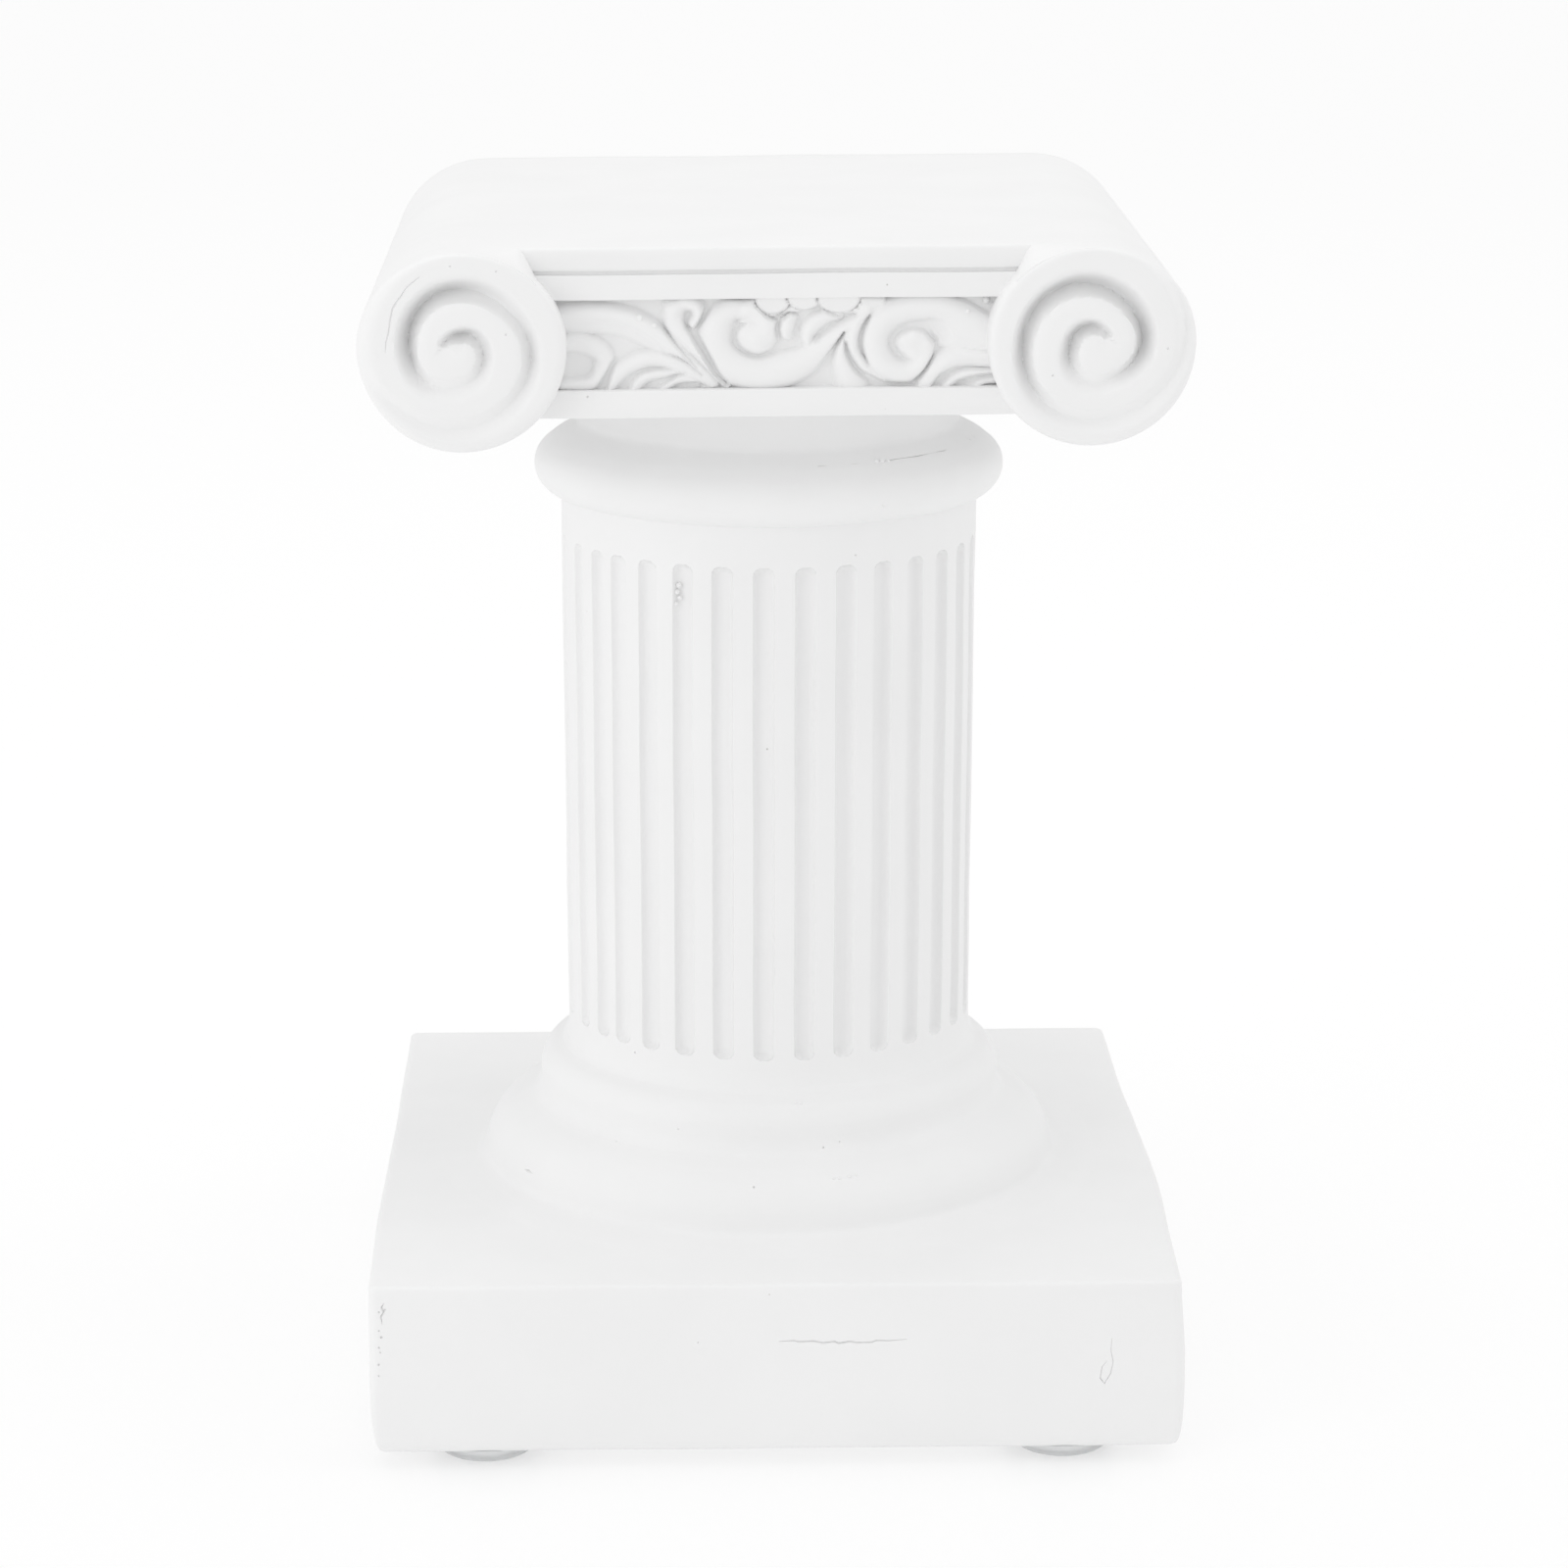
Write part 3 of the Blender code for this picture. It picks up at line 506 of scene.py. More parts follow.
def strung(points, step=0.12):
    """A smooth curve through a stroke's points, with its width and height running along."""
    points = np.asarray(points, float)
    ends = np.vstack([2 * points[0] - points[1], points, 2 * points[-1] - points[-2]])
    made = []
    for before, here, after, beyond in zip(ends, ends[1:], ends[2:], ends[3:]):
        count = max(2, round(np.hypot(*(after - here)[:2]) / step))
        t = np.linspace(0, 1, count, endpoint=False)[:, None]
        slope, bend = after - before, 2 * before - 5 * here + 4 * after - beyond
        twist = 3 * here - before - 3 * after + beyond
        made.append(0.5 * (2 * here + slope * t + bend * t**2 + twist * t**3))
    return np.vstack(made + [points[-1:]])


def swept(stroke, x, z, shape, spread=1.0):
    """The greatest height that a brush of the stroke's width leaves at each point of the grid."""
    tallest = np.zeros_like(x)
    for px, pz, half_width, height in strung(stroke):
        share = np.hypot(x - px, z - pz) / (half_width * spread)
        near = share < 1.0
        tallest[near] = np.maximum(tallest[near], height * shape(share[near]))
    return tallest


def rounded_form(share):
    return (1.0 - share**2) ** 0.6


def cut_line(share):
    return (1.0 - share**2) ** 1.1


def petal(x, z, middle_x, middle_z, half_wide, half_tall):
    """A shallow cup with a raised lip round its lower edge."""
    share = np.hypot((x - middle_x) / half_wide, (z - middle_z) / half_tall)
    cup = petal_cup + petal_lip * np.exp(-(((share - 0.86) / 0.12) ** 2))
    return np.where(share < 1.0, cup * (1.0 - np.clip(share, 0, 1) ** 9), 0.0)


def relief(x, z):
    height = np.zeros_like(x)
    for stroke in forms.values():
        laid = form_lift * swept(stroke, x, z, rounded_form, form_spread)
        height = (height**form_blend + laid**form_blend) ** (1 / form_blend)
    bite = np.zeros_like(x)
    for stroke in cuts.values():
        bite = np.maximum(bite, swept(stroke, x, z, cut_line))
    height = np.clip(height - cut_bite * bite, 0.0, frieze_recess - 0.1)
    for lobe in petals:
        cup = petal(x, z, *lobe)
        height = np.where(cup > 0.3, cup, height)
    inner = height[1:-1, 1:-1]
    around = height[:-2, 1:-1] + height[2:, 1:-1] + height[1:-1, :-2] + height[1:-1, 2:]
    height[1:-1, 1:-1] = 0.5 * inner + 0.125 * around
    return height


def frieze_slab(name, face, outward, cell):
    half = opening + 1.2
    low, high = frieze_bottom - 0.25, frieze_top + 0.25
    along = np.linspace(-half, half, round(2 * half / cell) + 1)
    up = np.linspace(low, high, round((high - low) / cell) + 1)
    x, z = np.meshgrid(along, up)
    height = relief(-outward * x, z - frieze_bottom)
    rows, columns = x.shape
    front = laid_out(shaft_centre[0] + x, face + outward * (height - frieze_recess), z)
    index = np.arange(rows * columns).reshape(rows, columns)
    quads = np.stack([index[:-1, :-1], index[:-1, 1:], index[1:, 1:], index[1:, :-1]], axis=-1)
    rim = np.concatenate([index[0, :-1], index[:-1, -1], index[-1, :0:-1], index[:0:-1, 0]])
    back = front.reshape(-1, 3)[rim]
    back[:, 1] = face - outward * (frieze_recess + 1.2)
    behind = rows * columns + np.arange(len(rim))
    sides = np.stack([rim, behind, np.roll(behind, -1), np.roll(rim, -1)], axis=1)
    points = np.vstack([front.reshape(-1, 3), back])
    faces = quads.reshape(-1, 4).tolist() + sides.tolist() + [behind[::-1].tolist()]
    return closed_body(name, waver(points), faces)


front_cell, back_cell = 0.155, 0.38
capital_parts.append(frieze_slab("front frieze", capital_front, -1.0, front_cell))
capital_parts.append(frieze_slab("back frieze", capital_back, 1.0, back_cell))

# %% [markdown]
# Each scroll is a long roll whose ends are carved with one spiral groove. The groove is deep where it
# passes over the top and the outer side, and nearly dies away below; its inner wall is steep and rounds
# over into the coil it goes round, and its outer side climbs softly into the next turn. The groove's table
# reads, for each place along it: how far it has turned from its start at the eye, how far it is from the
# middle, how deep it is, and how wide its inner and outer sides are.

# %% Spiral grooves of the scrolls
scroll_crown = 10.85
scroll_centre_z = capital_top - scroll_crown
left_start, right_start = 149.0, 42.0
left_groove = [
    (0, 1.9, 0.6, 0.5, 0.6), (30, 1.5, 1.2, 0.6, 0.9), (59, 1.35, 1.4, 0.6, 1.0),
    (107, 1.75, 1.2, 0.6, 1.1), (150, 2.2, 1.0, 0.6, 1.1), (188, 2.75, 0.9, 0.6, 1.0),
    (213, 3.6, 0.5, 0.8, 1.1), (242, 3.95, 0.25, 0.9, 1.2), (271, 4.9, 0.4, 0.9, 1.2),
    (295, 5.6, 0.9, 0.9, 1.1), (321, 5.75, 1.6, 0.9, 1.1), (338, 5.95, 1.8, 1.0, 1.1),
    (365, 6.2, 1.8, 1.0, 1.2), (395, 6.4, 1.8, 1.0, 1.3), (417, 6.35, 1.8, 1.0, 1.4),
    (437, 6.4, 1.4, 0.9, 1.5), (471, 6.6, 0.85, 0.9, 1.4), (488, 7.1, 0.95, 0.8, 1.2),
    (515, 7.7, 1.15, 0.8, 1.0), (532, 8.0, 0.9, 0.8, 1.0), (555, 8.1, 0.5, 0.9, 1.2),
    (575, 8.5, 0.3, 1.0, 1.3), (629, 9.2, 0.25, 1.0, 1.3), (649, 9.6, 0.3, 1.0, 1.1),
    (665, 10.4, 0.25, 0.9, 0.9), (680, 11.1, 0.05, 0.6, 0.6),
]
right_groove = [
    (0, 1.75, 0.7, 0.5, 0.6), (35, 1.6, 1.3, 0.6, 0.9), (77, 1.65, 1.4, 0.6, 1.1),
    (110, 1.9, 1.4, 0.7, 1.1), (146, 2.3, 1.4, 0.7, 1.1), (174, 3.1, 1.2, 0.8, 1.1),
    (201, 3.9, 0.6, 0.8, 1.1), (229, 4.5, 0.3, 0.9, 1.1), (258, 4.45, 0.5, 0.8, 1.1),
    (281, 4.9, 1.0, 0.8, 1.1), (304, 5.5, 1.6, 0.8, 1.1), (325, 5.75, 1.8, 0.9, 1.1),
    (348, 5.6, 1.7, 0.9, 1.3), (376, 5.75, 1.7, 0.9, 1.5), (404, 6.1, 1.8, 0.9, 1.5),
    (427, 6.55, 1.8, 1.0, 1.4), (451, 6.95, 1.7, 0.9, 1.3), (476, 7.35, 1.6, 0.9, 1.2),
    (502, 7.7, 1.6, 0.8, 1.1), (520, 8.1, 1.4, 0.8, 1.1), (537, 8.4, 1.0, 0.8, 1.1),
    (554, 8.5, 0.6, 0.9, 1.2), (585, 8.5, 0.35, 1.0, 1.3), (634, 9.1, 0.35, 1.0, 1.3),
    (653, 9.7, 0.4, 1.0, 1.1), (685, 10.45, 0.5, 0.9, 0.9), (701, 10.7, 0.4, 0.8, 0.8),
    (717, 10.8, 0.2, 0.7, 0.7), (730, 11.0, 0.03, 0.5, 0.5),
]


def groove_turns(table, start, side):
    """The groove's line, outward way and sizes, every two degrees, in one table for each turn."""
    table = np.array(table, float)
    turned_by = np.arange(0.0, table[-1, 0], 2.0)
    sizes = [np.interp(turned_by, table[:, 0], table[:, i]) for i in range(1, 5)]
    smooth = np.ones(13) / 13
    radius, deep, inner, outer = (np.convolve(np.pad(s, 6, mode="edge"), smooth, "valid") for s in sizes)
    angle = np.radians(start + side * turned_by)
    line = np.stack([radius * np.cos(angle), radius * np.sin(angle)], axis=1)
    ahead = np.gradient(line, axis=0)
    ahead /= np.linalg.norm(ahead, axis=1, keepdims=True)
    outward = side * np.stack([ahead[:, 1], -ahead[:, 0]], axis=1)
    whole = np.column_stack([line, outward, deep, inner, outer])
    return [whole[first : first + 181] for first in range(0, len(whole), 180)]


# %% [markdown]
# The roll is skinned ring by ring: out from the eye over the carved end, over the rounded rim, along the
# roll, and back in to the far eye. The rim is nearly sharp on top, where it continues the flat slab, and
# full and round at the sides and below. The back ends, which nobody sees from the front, are stepped more
# coarsely.

# %% Scrolls
scroll_columns = 156
groove_bite, slope_spread, coil_round = 2.15, 1.5, 2.4
wall_share, crest_share = 0.45, 0.55
front_step, back_step, back_rounder = 0.24, 0.75, 0.8
scroll_front, scroll_back = capital_front - 4.0, capital_back + 0.4
round_angles = np.arange(scroll_columns) * math.tau / scroll_columns
rim_top, rim_outer, rim_inner, rim_below = 0.5, 2.4, 1.0, 1.7


def scroll_outline(share):
    """The scroll's outline at that share of its size: round, and a little flatter on top."""
    rise = np.where(np.sin(round_angles) > 0, scroll_crown, scroll_radius)
    return share * scroll_radius * np.cos(round_angles), share * rise * np.sin(round_angles)


def rim_rounding(side):
    """How wide the rim's rounding is at each column round the scroll."""
    up, out = np.sin(round_angles), side * np.cos(round_angles)
    upright = np.where(up > 0, rim_top, rim_below) * up**2
    sideways = np.where(out > 0, rim_outer, rim_inner) * out**2
    return upright + sideways


def end_depth(across_end, up_end, inset, turns, rim_round):
    """How far a point of the carved end lies behind the flat end: the rim's rounding and the groove."""
    near_rim = np.clip((rim_round - inset) / rim_round, 0.0, 1.0)
    depth = rim_round * (1.0 - np.sqrt(1.0 - near_rim**2))
    carved = np.zeros_like(depth)
    places = np.stack([across_end, up_end], axis=1)
    for turn in turns:
        apart = places[:, None] - turn[None, :, :2]
        nearest = np.argmin((apart**2).sum(axis=2), axis=1)
        apart = apart[np.arange(len(places)), nearest]
        out_x, out_z, deep, inner, outer = turn[nearest, 2:].T
        beyond = apart[:, 0] * out_x + apart[:, 1] * out_z
        past_end = np.maximum(np.abs(apart[:, 0] * out_z - apart[:, 1] * out_x) - 0.2, 0.0)
        away = np.hypot(beyond, past_end)
        wall = (1.0 - np.minimum(away / inner, 1.0) ** 2) ** 0.8
        crest = 1.0 - np.sqrt(1.0 - (1.0 - np.minimum(away / coil_round, 1.0)) ** 2)
        slope = falling(away / (slope_spread * outer))
        profile = np.where(beyond < 0.0, wall_share * wall + crest_share * crest, slope)
        carved = np.maximum(carved, groove_bite * deep * profile)
    return depth + carved


def roll(name, side, start, table):
    turns = groove_turns(table, start, side)
    rim_round = rim_rounding(side)
    rim = [np.arange(0.0, 0.1, 0.04), np.arange(0.12, 0.5, 0.13), np.arange(0.6, 2.4, 0.3)]
    faces = []
    front_end = (scroll_front, -1.0, front_step, 0.0)
    back_end = (scroll_back, 1.0, back_step, back_rounder)
    for face, outward, step, rounder in (front_end, back_end):
        rings = []
        for inset in np.concatenate([*rim, np.arange(2.4, 11.5, step)])[::-1]:
            x, z = scroll_outline(1.0 - inset / scroll_radius)
            y = face - outward * end_depth(x, z, inset, turns, rim_round + rounder)
            rings.append(laid_out(shaft_centre[0] + side * scroll_x + x, y, scroll_centre_z + z))
        faces.append(rings)
    along = np.linspace(scroll_front + 3.2, scroll_back - 3.6, 16)
    edge = faces[0][-1]
    length = [laid_out(edge[:, 0], y, edge[:, 2]) for y in along]
    return skin(name, waver(faces[0] + length + faces[1][::-1]))


capital_parts.append(roll("left scroll", -1.0, left_start, left_groove))
capital_parts.append(roll("right scroll", 1.0, right_start, right_groove))

# %% [markdown]
# The beam runs on into the scrolls, and at the back its face would fill their grooves, because the ends
# stand out so little there. So a round socket is cut into the beam inside each scroll before the rolls are
# joined to it.

# %% Sockets for the scrolls' back ends
socket_share, socket_deep = 0.88, 6.0


def socket(name, side):
    x, z = scroll_outline(socket_share)
    x, z = shaft_centre[0] + side * scroll_x + x, scroll_centre_z + z
    return skin(name, [laid_out(x, y, z) for y in (scroll_back - socket_deep, scroll_back + 3.0)])


capital_parts[1:1] = [socket("left socket", -1.0), socket("right socket", 1.0)]

# %% [markdown]
# The slab does not stop dead where it meets a scroll. Its top runs forward over the scroll as a soft
# shoulder and dies away at the scroll's rim, so a small wedge of its own fills each of those corners.

# %% Shoulders between the slab and the scrolls
shoulder_end, shoulder_fade = 26.8, 2.2
slab_edge_round = 0.42


def shoulder(name, side):
    run = np.linspace(0.0, 1.0, 11)
    forward = capital_front + slab_edge_round - run * (slab_edge_round + 3.75)
    top_y = np.concatenate([[capital_front + 1.5], forward])
    sunk = np.concatenate([[0.0], run])
    rings = []
    for out in np.linspace(scroll_x + 0.4, shoulder_end, 20):
        crown = scroll_crown * math.sqrt(1.0 - ((out - scroll_x) / scroll_radius) ** 2)
        scroll_top = scroll_centre_z + crown
        lift = (slab_top - scroll_top) * falling(1.0 - (out - shoulder_end) / shoulder_fade)
        top_z = scroll_top - 0.04 + lift * falling(sunk)
        y = np.concatenate([top_y, top_y[::-1]])
        z = np.concatenate([top_z, np.full(len(top_z), scroll_top - 1.6)])
        rings.append(laid_out(shaft_centre[0] + side * out, y, z))
    return skin(name, waver(rings))


capital_parts.append(shoulder("left shoulder", -1.0))
capital_parts.append(shoulder("right shoulder", 1.0))

# %% [markdown]
# The whole capital sits a touch crooked on the shaft: its right end is about half a millimetre higher. That
# slip in the mould is kept, so the capital's parts are turned together about the foot of the beam.

# %% The capital's lean
capital_lean = math.radians(0.42)
pivot = Vector((shaft_centre[0], 0.0, capital_bottom)) * metres
tilt = Matrix.Rotation(-capital_lean, 4, "Y")
lean = Matrix.Translation(pivot) @ tilt @ Matrix.Translation(-pivot)
for part in capital_parts:
    part.data.transform(lean)
casting_parts.extend(capital_parts)

# %% [markdown]
# The casting has its marks. Fine cracks run along the plinth's front and round the left scroll's rim, the
# plinth's left edge is chipped, bubbles in the mould left pits and tiny beads, and a thin seam with crumbs
# of flash runs round the right half of the neck. All of them are modelled, because only a real edge catches
# the light. A crack, a chip or a seam is a thin wedge along a line of places, and pits, beads and crumbs are
# small balls, each with its place and its radius in millimetres.

# %% Marks of the mould
crack_lines = {
    "crack on the plinth": (0.085, 0.3, [(0.4, -50.25, 15.85), (2.2, -50.25, 15.95), (2.6, -50.25, 15.78),
        (4.4, -50.25, 15.85), (5.6, -50.24, 15.6), (7.0, -50.24, 15.75), (7.4, -50.24, 15.52),
        (8.8, -50.23, 15.75), (9.4, -50.23, 15.6), (11.3, -50.23, 15.6), (11.8, -50.23, 15.85),
        (13.4, -50.23, 15.8), (15.4, -50.24, 16.0)]),
    "chip on the plinth's edge": (0.11, 0.35, [(-45.7, -50.25, 21.0), (-46.0, -50.25, 20.5),
        (-45.75, -50.25, 19.9), (-46.1, -50.25, 19.3), (-45.95, -50.25, 18.4)]),
    "seam at the neck": (0.07, 0.35, [(5.5, -24.9, 115.15), (10.0, -23.5, 115.15), (14.0, -21.5, 115.15),
        (17.5, -18.8, 115.15), (20.8, -15.2, 115.15), (23.4, -10.8, 115.15)]),
    "loop scratch": (0.06, 0.18, [(39.5, -50.21, 15.9), (39.4, -50.21, 14.4), (39.7, -50.21, 12.9),
        (39.4, -50.21, 11.4), (38.7, -50.21, 10.2), (38.2, -50.21, 10.9), (38.4, -50.21, 12.3),
        (39.0, -50.21, 13.1)]),
    "crack on the left rim": (0.12, 0.25, [(-39.6, -45.58, 140.5), (-40.4, -45.58, 139.9),
        (-41.1, -45.58, 139.3), (-41.7, -45.58, 138.4), (-42.3, -45.58, 137.6), (-42.7, -45.58, 136.9),
        (-43.0, -45.59, 135.5), (-43.2, -45.6, 134.2), (-43.5, -45.6, 133.1), (-43.6, -45.61, 132.0)]),
    "scratch on the lower ring": (0.13, 0.3, [(-30.05, -17.6, 26.1), (-29.55, -18.4, 26.2),
        (-29.05, -19.2, 26.1)]),
}
pits = [
    (-16.4, -18.5, 41.4, 0.14), (-18.8, -22.5, 31.3, 0.15), (6.3, -28.0, 32.2, 0.15),
    (8.3, -27.4, 32.7, 0.13), (-2.2, -33.2, 29.0, 0.13), (-11.2, -26.0, 34.0, 0.12),
    (25.9, -48.6, 2.65, 0.24), (-31.1, -45.64, 141.1, 0.11), (-36.2, -45.63, 141.7, 0.11),
    (-30.1, -45.62, 134.0, 0.13), (31.2, -45.63, 129.2, 0.13), (44.1, -45.6, 132.2, 0.14),
    (39.4, -45.3, 125.0, 0.14), (12.4, -21.2, 91.5, 0.12), (10.1, -23.2, 104.2, 0.14),
    (-21.9, -12.0, 95.2, 0.12), (-21.1, -41.63, 126.3, 0.14), (-9.1, -50.22, 15.8, 0.12),
    (-45.6, -50.25, 20.2, 0.15), (-46.3, -50.25, 19.9, 0.13), (-46.35, -50.25, 17.6, 0.12),
    (-46.1, -50.25, 16.8, 0.17), (-46.4, -50.25, 15.5, 0.14), (-46.25, -50.25, 14.9, 0.1),
    (-46.45, -50.25, 13.4, 0.17), (-46.5, -50.25, 12.0, 0.11),
]
beads = [
    (-15.2, -41.1, 135.2, 0.4), (-13.5, -40.9, 134.3, 0.3), (24.0, -39.9, 136.9, 0.45),
    (21.9, -41.1, 135.9, 0.26), (13.1, -25.2, 110.4, 0.26), (-10.8, -21.8, 100.4, 0.34),
    (-11.0, -21.8, 99.6, 0.32), (-10.7, -21.8, 98.9, 0.28), (-11.1, -21.8, 98.2, 0.26),
    (12.5, -22.3, 115.3, 0.3), (13.2, -22.0, 115.3, 0.34), (13.9, -21.7, 115.2, 0.26),
    (24.4, -8.0, 115.1, 0.32), (25.1, -6.0, 115.1, 0.26), (7.4, -31.8, 29.5, 0.24),
    (8.1, -31.7, 29.5, 0.24), (9.3, -31.3, 29.6, 0.26), (10.2, -31.0, 29.6, 0.2), (3.0, -26.8, 37.4, 0.2),
    (3.6, -26.8, 37.4, 0.2),
]


def way_out(places):
    """Which way the skin faces there: to the front on flat faces, else away from the axis."""
    places = np.asarray(places, float)
    on_flat = places[:, 1:2] < -38.0
    away = places * (1.0, 1.0, 0.0) - (*shaft_centre, 0.0)
    away /= np.linalg.norm(away, axis=1, keepdims=True)
    return np.where(on_flat, (0.0, -1.0, 0.0), away)


def crack(name, half_width, deep, places):
    """A thin wedge along the line: wide at the skin, sharp below it, and narrowing to both ends."""
    places = np.asarray(places, float)
    outward = way_out(places)
    along = np.gradient(places, axis=0)
    across_line = np.cross(along, outward)
    across_line /= np.linalg.norm(across_line, axis=1, keepdims=True)
    taper = np.sin(np.linspace(0.12, math.pi - 0.12, len(places)))[:, None] ** 0.5
    above = places + outward * half_width
    sides = across_line * half_width * 2.0 * taper
    return skin(name, np.stack([above - sides, places - outward * deep * taper, above + sides], axis=1))


def balls(name, marks, depth_stretch):
    """Small balls, each drawn out along the skin's way out, in one body."""
    points, faces = [], []
    for mark, outward in zip(np.array(marks), way_out(np.array(marks)[:, :3])):
        ball = bmesh.new()
        bmesh.ops.create_icosphere(ball, subdivisions=2, radius=mark[3])
        first = len(points)
        for corner in ball.verts:
            place = np.array(corner.co)
            points.append(mark[:3] + place + outward * (place @ outward) * (depth_stretch - 1.0))
        faces += [[first + corner.index for corner in face.verts] for face in ball.faces]
        ball.free()
    return closed_body(name, points, faces)


cut_away = [crack(name, *line) for name, line in crack_lines.items()] + [balls("pits", pits, 1.6)]
stuck_on = [balls("beads", beads, 1.0)]

# %% [markdown]
# Cast plaster has no joints between its mouldings, so the parts are united into one body with Boolean steps,
# and the two sockets are cut before the scrolls are joined. The marks are cut and joined last, and the parts
# that all this was made from are removed.

# %% One casting
casting = casting_parts[0]
casting.name = "column_casting"
steps = [("DIFFERENCE" if "socket" in part.name else "UNION", part) for part in casting_parts[1:]]
steps += [("DIFFERENCE", part) for part in cut_away] + [("UNION", part) for part in stuck_on]
for operation, part in steps:
    step = casting.modifiers.new(part.name, "BOOLEAN")
    step.operation = operation
    step.solver = "MANIFOLD"
    step.object = part
bpy.context.view_layer.update()
graph = bpy.context.evaluated_depsgraph_get()
united = bpy.data.meshes.new_from_object(casting.evaluated_get(graph))
casting.modifiers.clear()
casting.data = united
for operation, part in steps:
    bpy.data.objects.remove(part)
sharpest_soft_edge = math.radians(38)
united.shade_smooth()
united.set_sharp_from_angle(angle=sharpest_soft_edge)
united.calc_loop_triangles()
print("casting has", len(united.loop_triangles), "triangles")

# %% [markdown]
# The feet are soft domes of clear rubber, flat where they stick and flat where they stand. Each is turned
# from a fine outline, because light runs round the rim of a clear dome and shows every flat.

# %% Clear feet
foot_columns = 72
foot_sharpest_soft_edge = math.radians(50)
foot_names = ("foot_front_left", "foot_front_right", "foot_back_left", "foot_back_right")
feet = []
for solid in foot_names:
    low, high = (np.array(corner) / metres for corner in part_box(solid))
    middle, radius, tall = (low + high) / 2, (high[0] - low[0]) / 2, high[2] - low[2]
    dome = np.concatenate(
        [
            [(0.5, tall), (radius - 0.5, tall), (radius - 0.12, tall - 0.03)],
            arc((4.2, tall - 0.12), radius - 4.2, -(tall - 0.12), 0, 90, 14),
            [(2.0, 0.0), (0.5, 0.0)],
        ]
    )
    angles = np.arange(foot_columns) * math.tau / foot_columns
    rings = []
    for r, z in dome:
        rings.append(laid_out(middle[0] + r * np.cos(angles), middle[1] + r * np.sin(angles), z))
    foot = skin(solid.replace("foot", "clear_foot"), rings)
    foot.data.shade_smooth()
    foot.data.set_sharp_from_angle(angle=foot_sharpest_soft_edge)
    feet.append(foot)

# %% [markdown]
# White cast plaster is matt with a faint skin sheen. Its white is not one flat colour: it clouds very
# slightly over a centimetre or two, and under a lens it is grained. Noise does the clouds and the grain.
# The pinholes where bubbles met the mould are not cut into the mesh. Instead a sparse Voronoi pattern
# paints their shade into the base colour as small dark grey dots.

# %% Plaster
plaster_white = (0.90, 0.90, 0.90)
# The share of Voronoi cells that get no painted pinhole shade.
cells_without_pinhole_shade = 0.88


def node(tree, kind, **sockets):
    made = tree.nodes.new(kind)
    for name, value in sockets.items():
        made.inputs[name.replace("_", " ")].default_value = value
    return made


def join(giver, output, taker, socket):
    giver.id_data.links.new(giver.outputs[output], taker.inputs[socket])


plaster = bpy.data.materials.new("white_cast_plaster")
plaster.use_nodes = True
tree = plaster.node_tree
shader = tree.nodes["Principled BSDF"]
shader.inputs["Metallic"].default_value = 0.0
shader.inputs["IOR"].default_value = 1.45
place = node(tree, "ShaderNodeTexCoord")
clouds = node(tree, "ShaderNodeTexNoise", Scale=70.0, Detail=3.0, Roughness=0.5)
grain = node(tree, "ShaderNodeTexNoise", Scale=2600.0, Detail=2.0, Roughness=0.6)
skin_waves = node(tree, "ShaderNodeTexNoise", Scale=420.0, Detail=2.0, Roughness=0.5)
bubbles = node(tree, "ShaderNodeTexVoronoi", Scale=150.0, Randomness=1.0)
for pattern in (clouds, grain, skin_waves, bubbles):
    join(place, "Object", pattern, "Vector")
tint = node(tree, "ShaderNodeValToRGB")
for stop, position, share in zip(tint.color_ramp.elements, (0.35, 0.65), (0.992, 1.006)):
    stop.position = position
    stop.color = (*(c * share for c in plaster_white), 1.0)
join(clouds, "Fac", tint, "Fac")
# Painted shade: a small dark dot at some Voronoi cell points stands in for the shade inside a pinhole.
pinhole_shade_dot = node(tree, "ShaderNodeMapRange", From_Min=0.014, From_Max=0.024, To_Min=1.0, To_Max=0.0)
join(bubbles, "Distance", pinhole_shade_dot, "Value")
chosen = node(tree, "ShaderNodeSeparateColor")
join(bubbles, "Color", chosen, "Color")
rare = node(tree, "ShaderNodeMath")
rare.operation = "GREATER_THAN"
rare.inputs[1].default_value = cells_without_pinhole_shade
join(chosen, "Red", rare, 0)
painted_pinhole_shade = node(tree, "ShaderNodeMath")
painted_pinhole_shade.operation = "MULTIPLY"
join(pinhole_shade_dot, "Result", painted_pinhole_shade, 0)
join(rare, "Value", painted_pinhole_shade, 1)
# The mix lays the painted pinhole shade, a dark grey, over the clouded white.
colour = node(tree, "ShaderNodeMix")
colour.data_type = "RGBA"
colour.inputs["B"].default_value = (0.52, 0.51, 0.49, 1.0)
join(painted_pinhole_shade, "Value", colour, "Factor")
join(tint, "Color", colour, "A")
join(colour, "Result", shader, "Base Color")
sheen = node(tree, "ShaderNodeMapRange", From_Min=0.3, From_Max=0.7, To_Min=0.50, To_Max=0.62)
join(skin_waves, "Fac", sheen, "Value")
join(sheen, "Result", shader, "Roughness")
fine = node(tree, "ShaderNodeBump", Strength=0.10, Distance=0.00006)
join(grain, "Fac", fine, "Height")
broad = node(tree, "ShaderNodeBump", Strength=0.05, Distance=0.00006)
join(skin_waves, "Fac", broad, "Height")
join(fine, "Normal", broad, "Normal")
join(broad, "Normal", shader, "Normal")
casting.data.materials.clear()
casting.data.materials.append(plaster)

# %% [markdown]
# Clear rubber lets light through with a soft blur, a little greyer than glass. The dust it has picked up
# clouds it in patches, which noise does through the roughness and a very light tint.

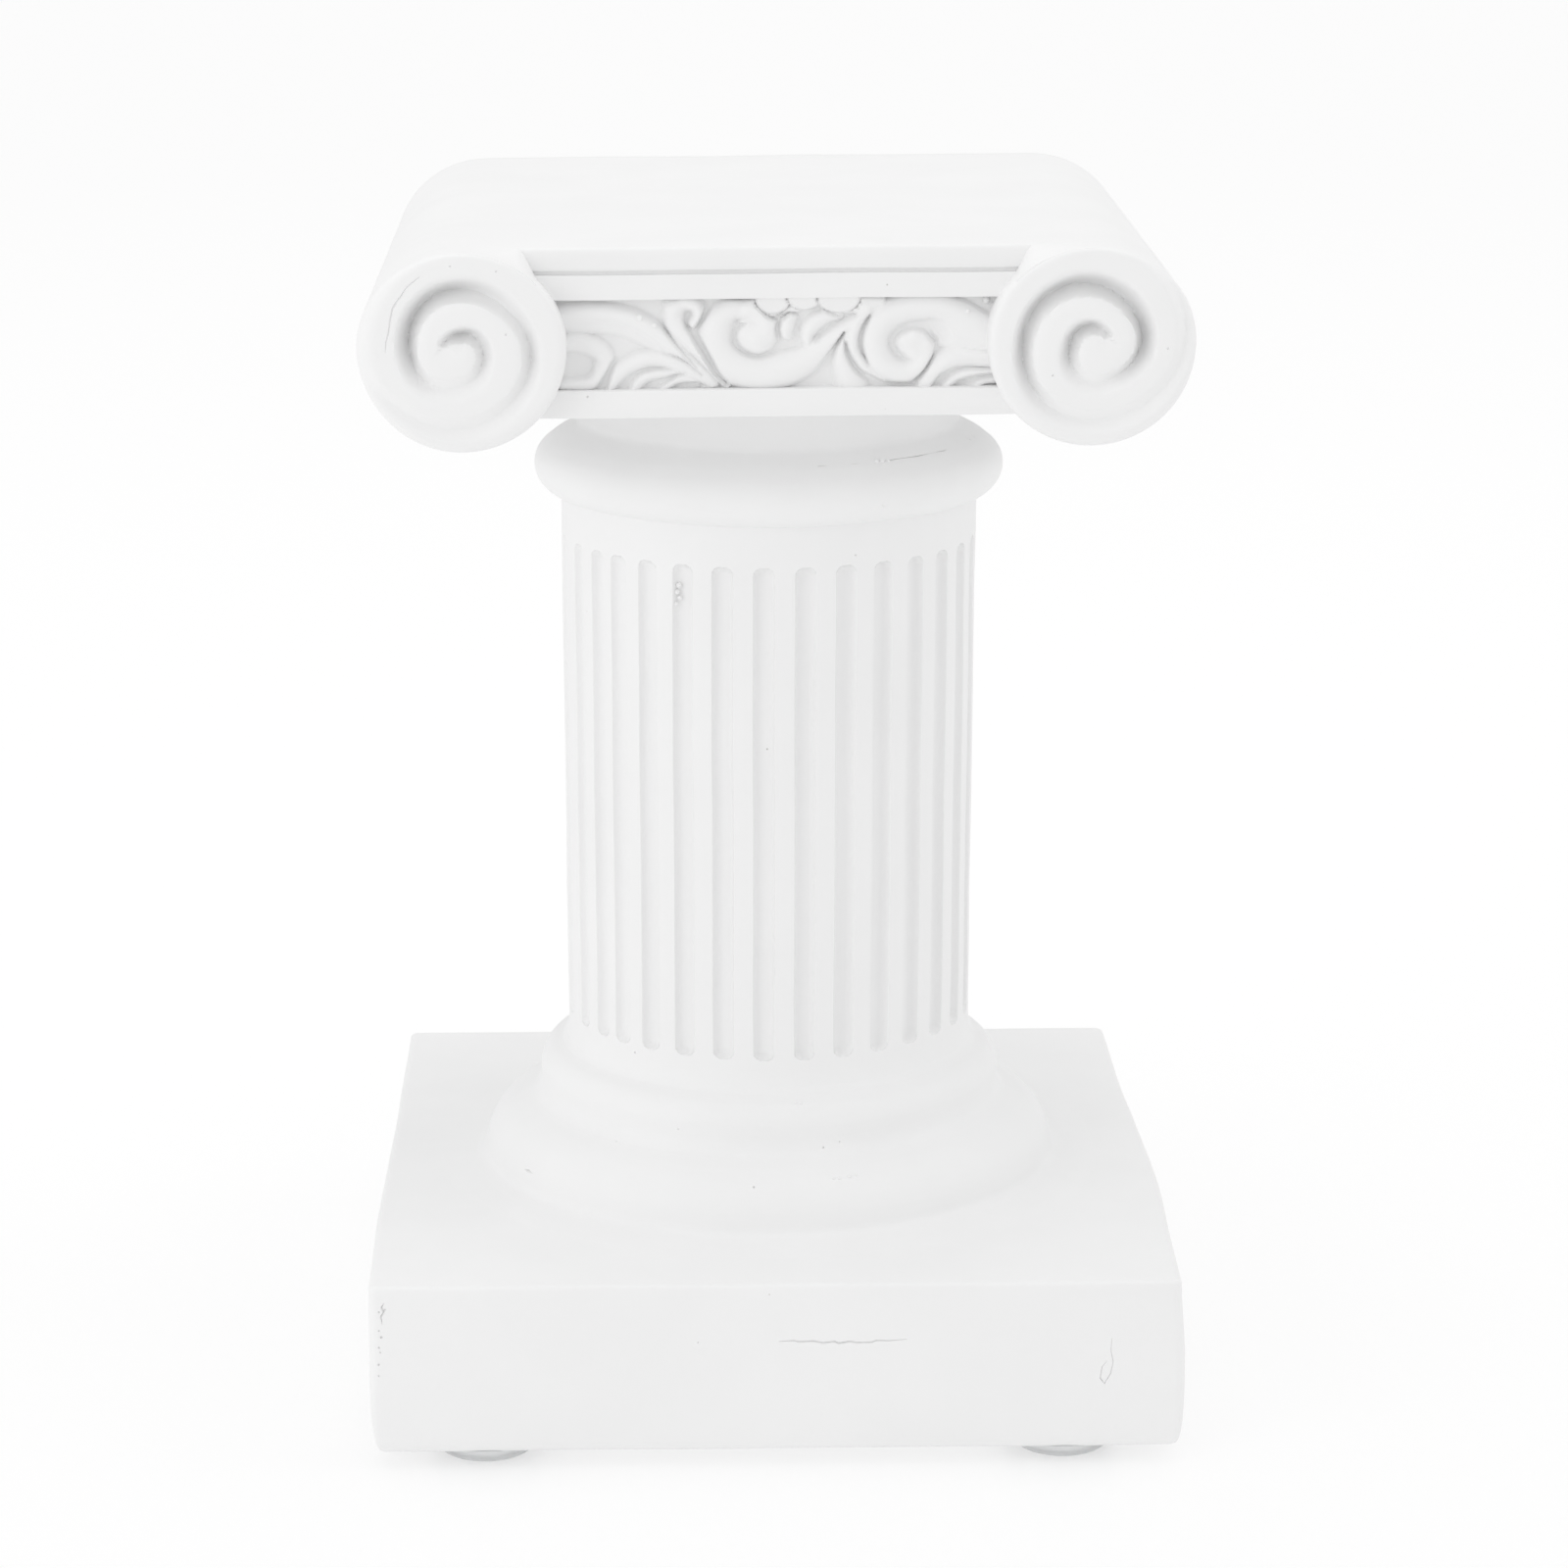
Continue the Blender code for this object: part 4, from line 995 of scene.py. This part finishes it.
# %% Clear rubber
rubber = bpy.data.materials.new("clear_soft_rubber")
rubber.use_nodes = True
tree = rubber.node_tree
shader = tree.nodes["Principled BSDF"]
shader.inputs["Transmission Weight"].default_value = 0.8
shader.inputs["IOR"].default_value = 1.42
place = node(tree, "ShaderNodeTexCoord")
dust = node(tree, "ShaderNodeTexNoise", Scale=900.0, Detail=3.0, Roughness=0.6)
join(place, "Object", dust, "Vector")
clear_tint = node(tree, "ShaderNodeValToRGB")
clear_tint.color_ramp.elements[0].color = (0.78, 0.79, 0.80, 1.0)
clear_tint.color_ramp.elements[1].color = (0.87, 0.88, 0.88, 1.0)
join(dust, "Fac", clear_tint, "Fac")
join(clear_tint, "Color", shader, "Base Color")
blur = node(tree, "ShaderNodeMapRange", To_Min=0.30, To_Max=0.45)
join(dust, "Fac", blur, "Value")
join(blur, "Result", shader, "Roughness")
for foot in feet:
    foot.data.materials.append(rubber)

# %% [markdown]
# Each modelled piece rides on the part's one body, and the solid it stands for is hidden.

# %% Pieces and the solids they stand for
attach(casting, "root")
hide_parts("column")
for foot, solid in zip(feet, foot_names):
    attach(foot, "root")
    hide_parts(solid)

# %% [markdown]
# A plain pale floor and soft studio light: a white sky all round, the strongest lamp broad and overhead,
# the next from the left in front, and weaker ones round about. A white thing on white needs light from
# everywhere, or its shadows go grey.

# %% Floor and light
scene = bpy.context.scene
scene.view_settings.view_transform = "Standard"
floor_size = 6.0
bpy.ops.mesh.primitive_plane_add(size=floor_size, location=(0, 0, 0))
floor = bpy.context.object
floor.name = "studio_floor"
paper = bpy.data.materials.new("white_paper_sweep")
paper.use_nodes = True
paper_shader = paper.node_tree.nodes["Principled BSDF"]
paper_shader.inputs["Base Color"].default_value = (0.40, 0.40, 0.40, 1.0)
paper_shader.inputs["Roughness"].default_value = 0.4
paper_shader.inputs["Emission Color"].default_value = (1.0, 1.0, 1.0, 1.0)
paper_shader.inputs["Emission Strength"].default_value = 0.545
floor.data.materials.append(paper)

sky = bpy.data.worlds.new("white_sky")
scene.world = sky
sky.use_nodes = True
backdrop = sky.node_tree.nodes["Background"]
backdrop.inputs["Color"].default_value = (1.0, 1.0, 1.0, 1.0)
backdrop.inputs["Strength"].default_value = 0.777

lit_place = (0.0, 0.0, 0.07)


def lamp(name, place, size, power):
    light = bpy.data.lights.new(name, "AREA")
    light.shape = "DISK"
    light.size = size
    light.energy = power
    holder = bpy.data.objects.new(name, light)
    holder.location = place
    holder.rotation_euler = (Vector(lit_place) - Vector(place)).to_track_quat("-Z", "Y").to_euler()
    scene.collection.objects.link(holder)


lamp("overhead", (0.0, 0.0, 0.95), 1.0, 1.65)
lamp("front left", (-0.65, -0.65, 0.35), 0.6, 0.98)
lamp("left", (-0.85, 0.0, 0.35), 0.8, 0.40)
lamp("right", (0.85, 0.0, 0.35), 0.8, 0.46)
lamp("right high", (0.75, -0.1, 0.75), 0.6, 0.37)
lamp("behind", (0.0, 0.85, 0.6), 0.8, 0.11)

# %% [markdown]
# The camera was worked out from the photograph by fitting the plinth's corners, the rings and the flutes'
# ends. It stands a little to the left, over half a metre away, and looks down by about fourteen degrees
# with a long lens.

# %% Camera
picture_side = 1600
focal_pixels = 4766.66
camera_data = bpy.data.cameras.new("camera")
camera_data.sensor_width = 36.0
camera_data.lens = focal_pixels / picture_side * camera_data.sensor_width
camera_data.clip_start, camera_data.clip_end = 0.01, 20.0
camera = bpy.data.objects.new("camera", camera_data)
camera.location = (-0.01297, -0.56448, 0.21370)
camera.rotation_euler = tuple(math.radians(a) for a in (75.768, -0.0555, -1.5324))
scene.collection.objects.link(camera)
scene.camera = camera
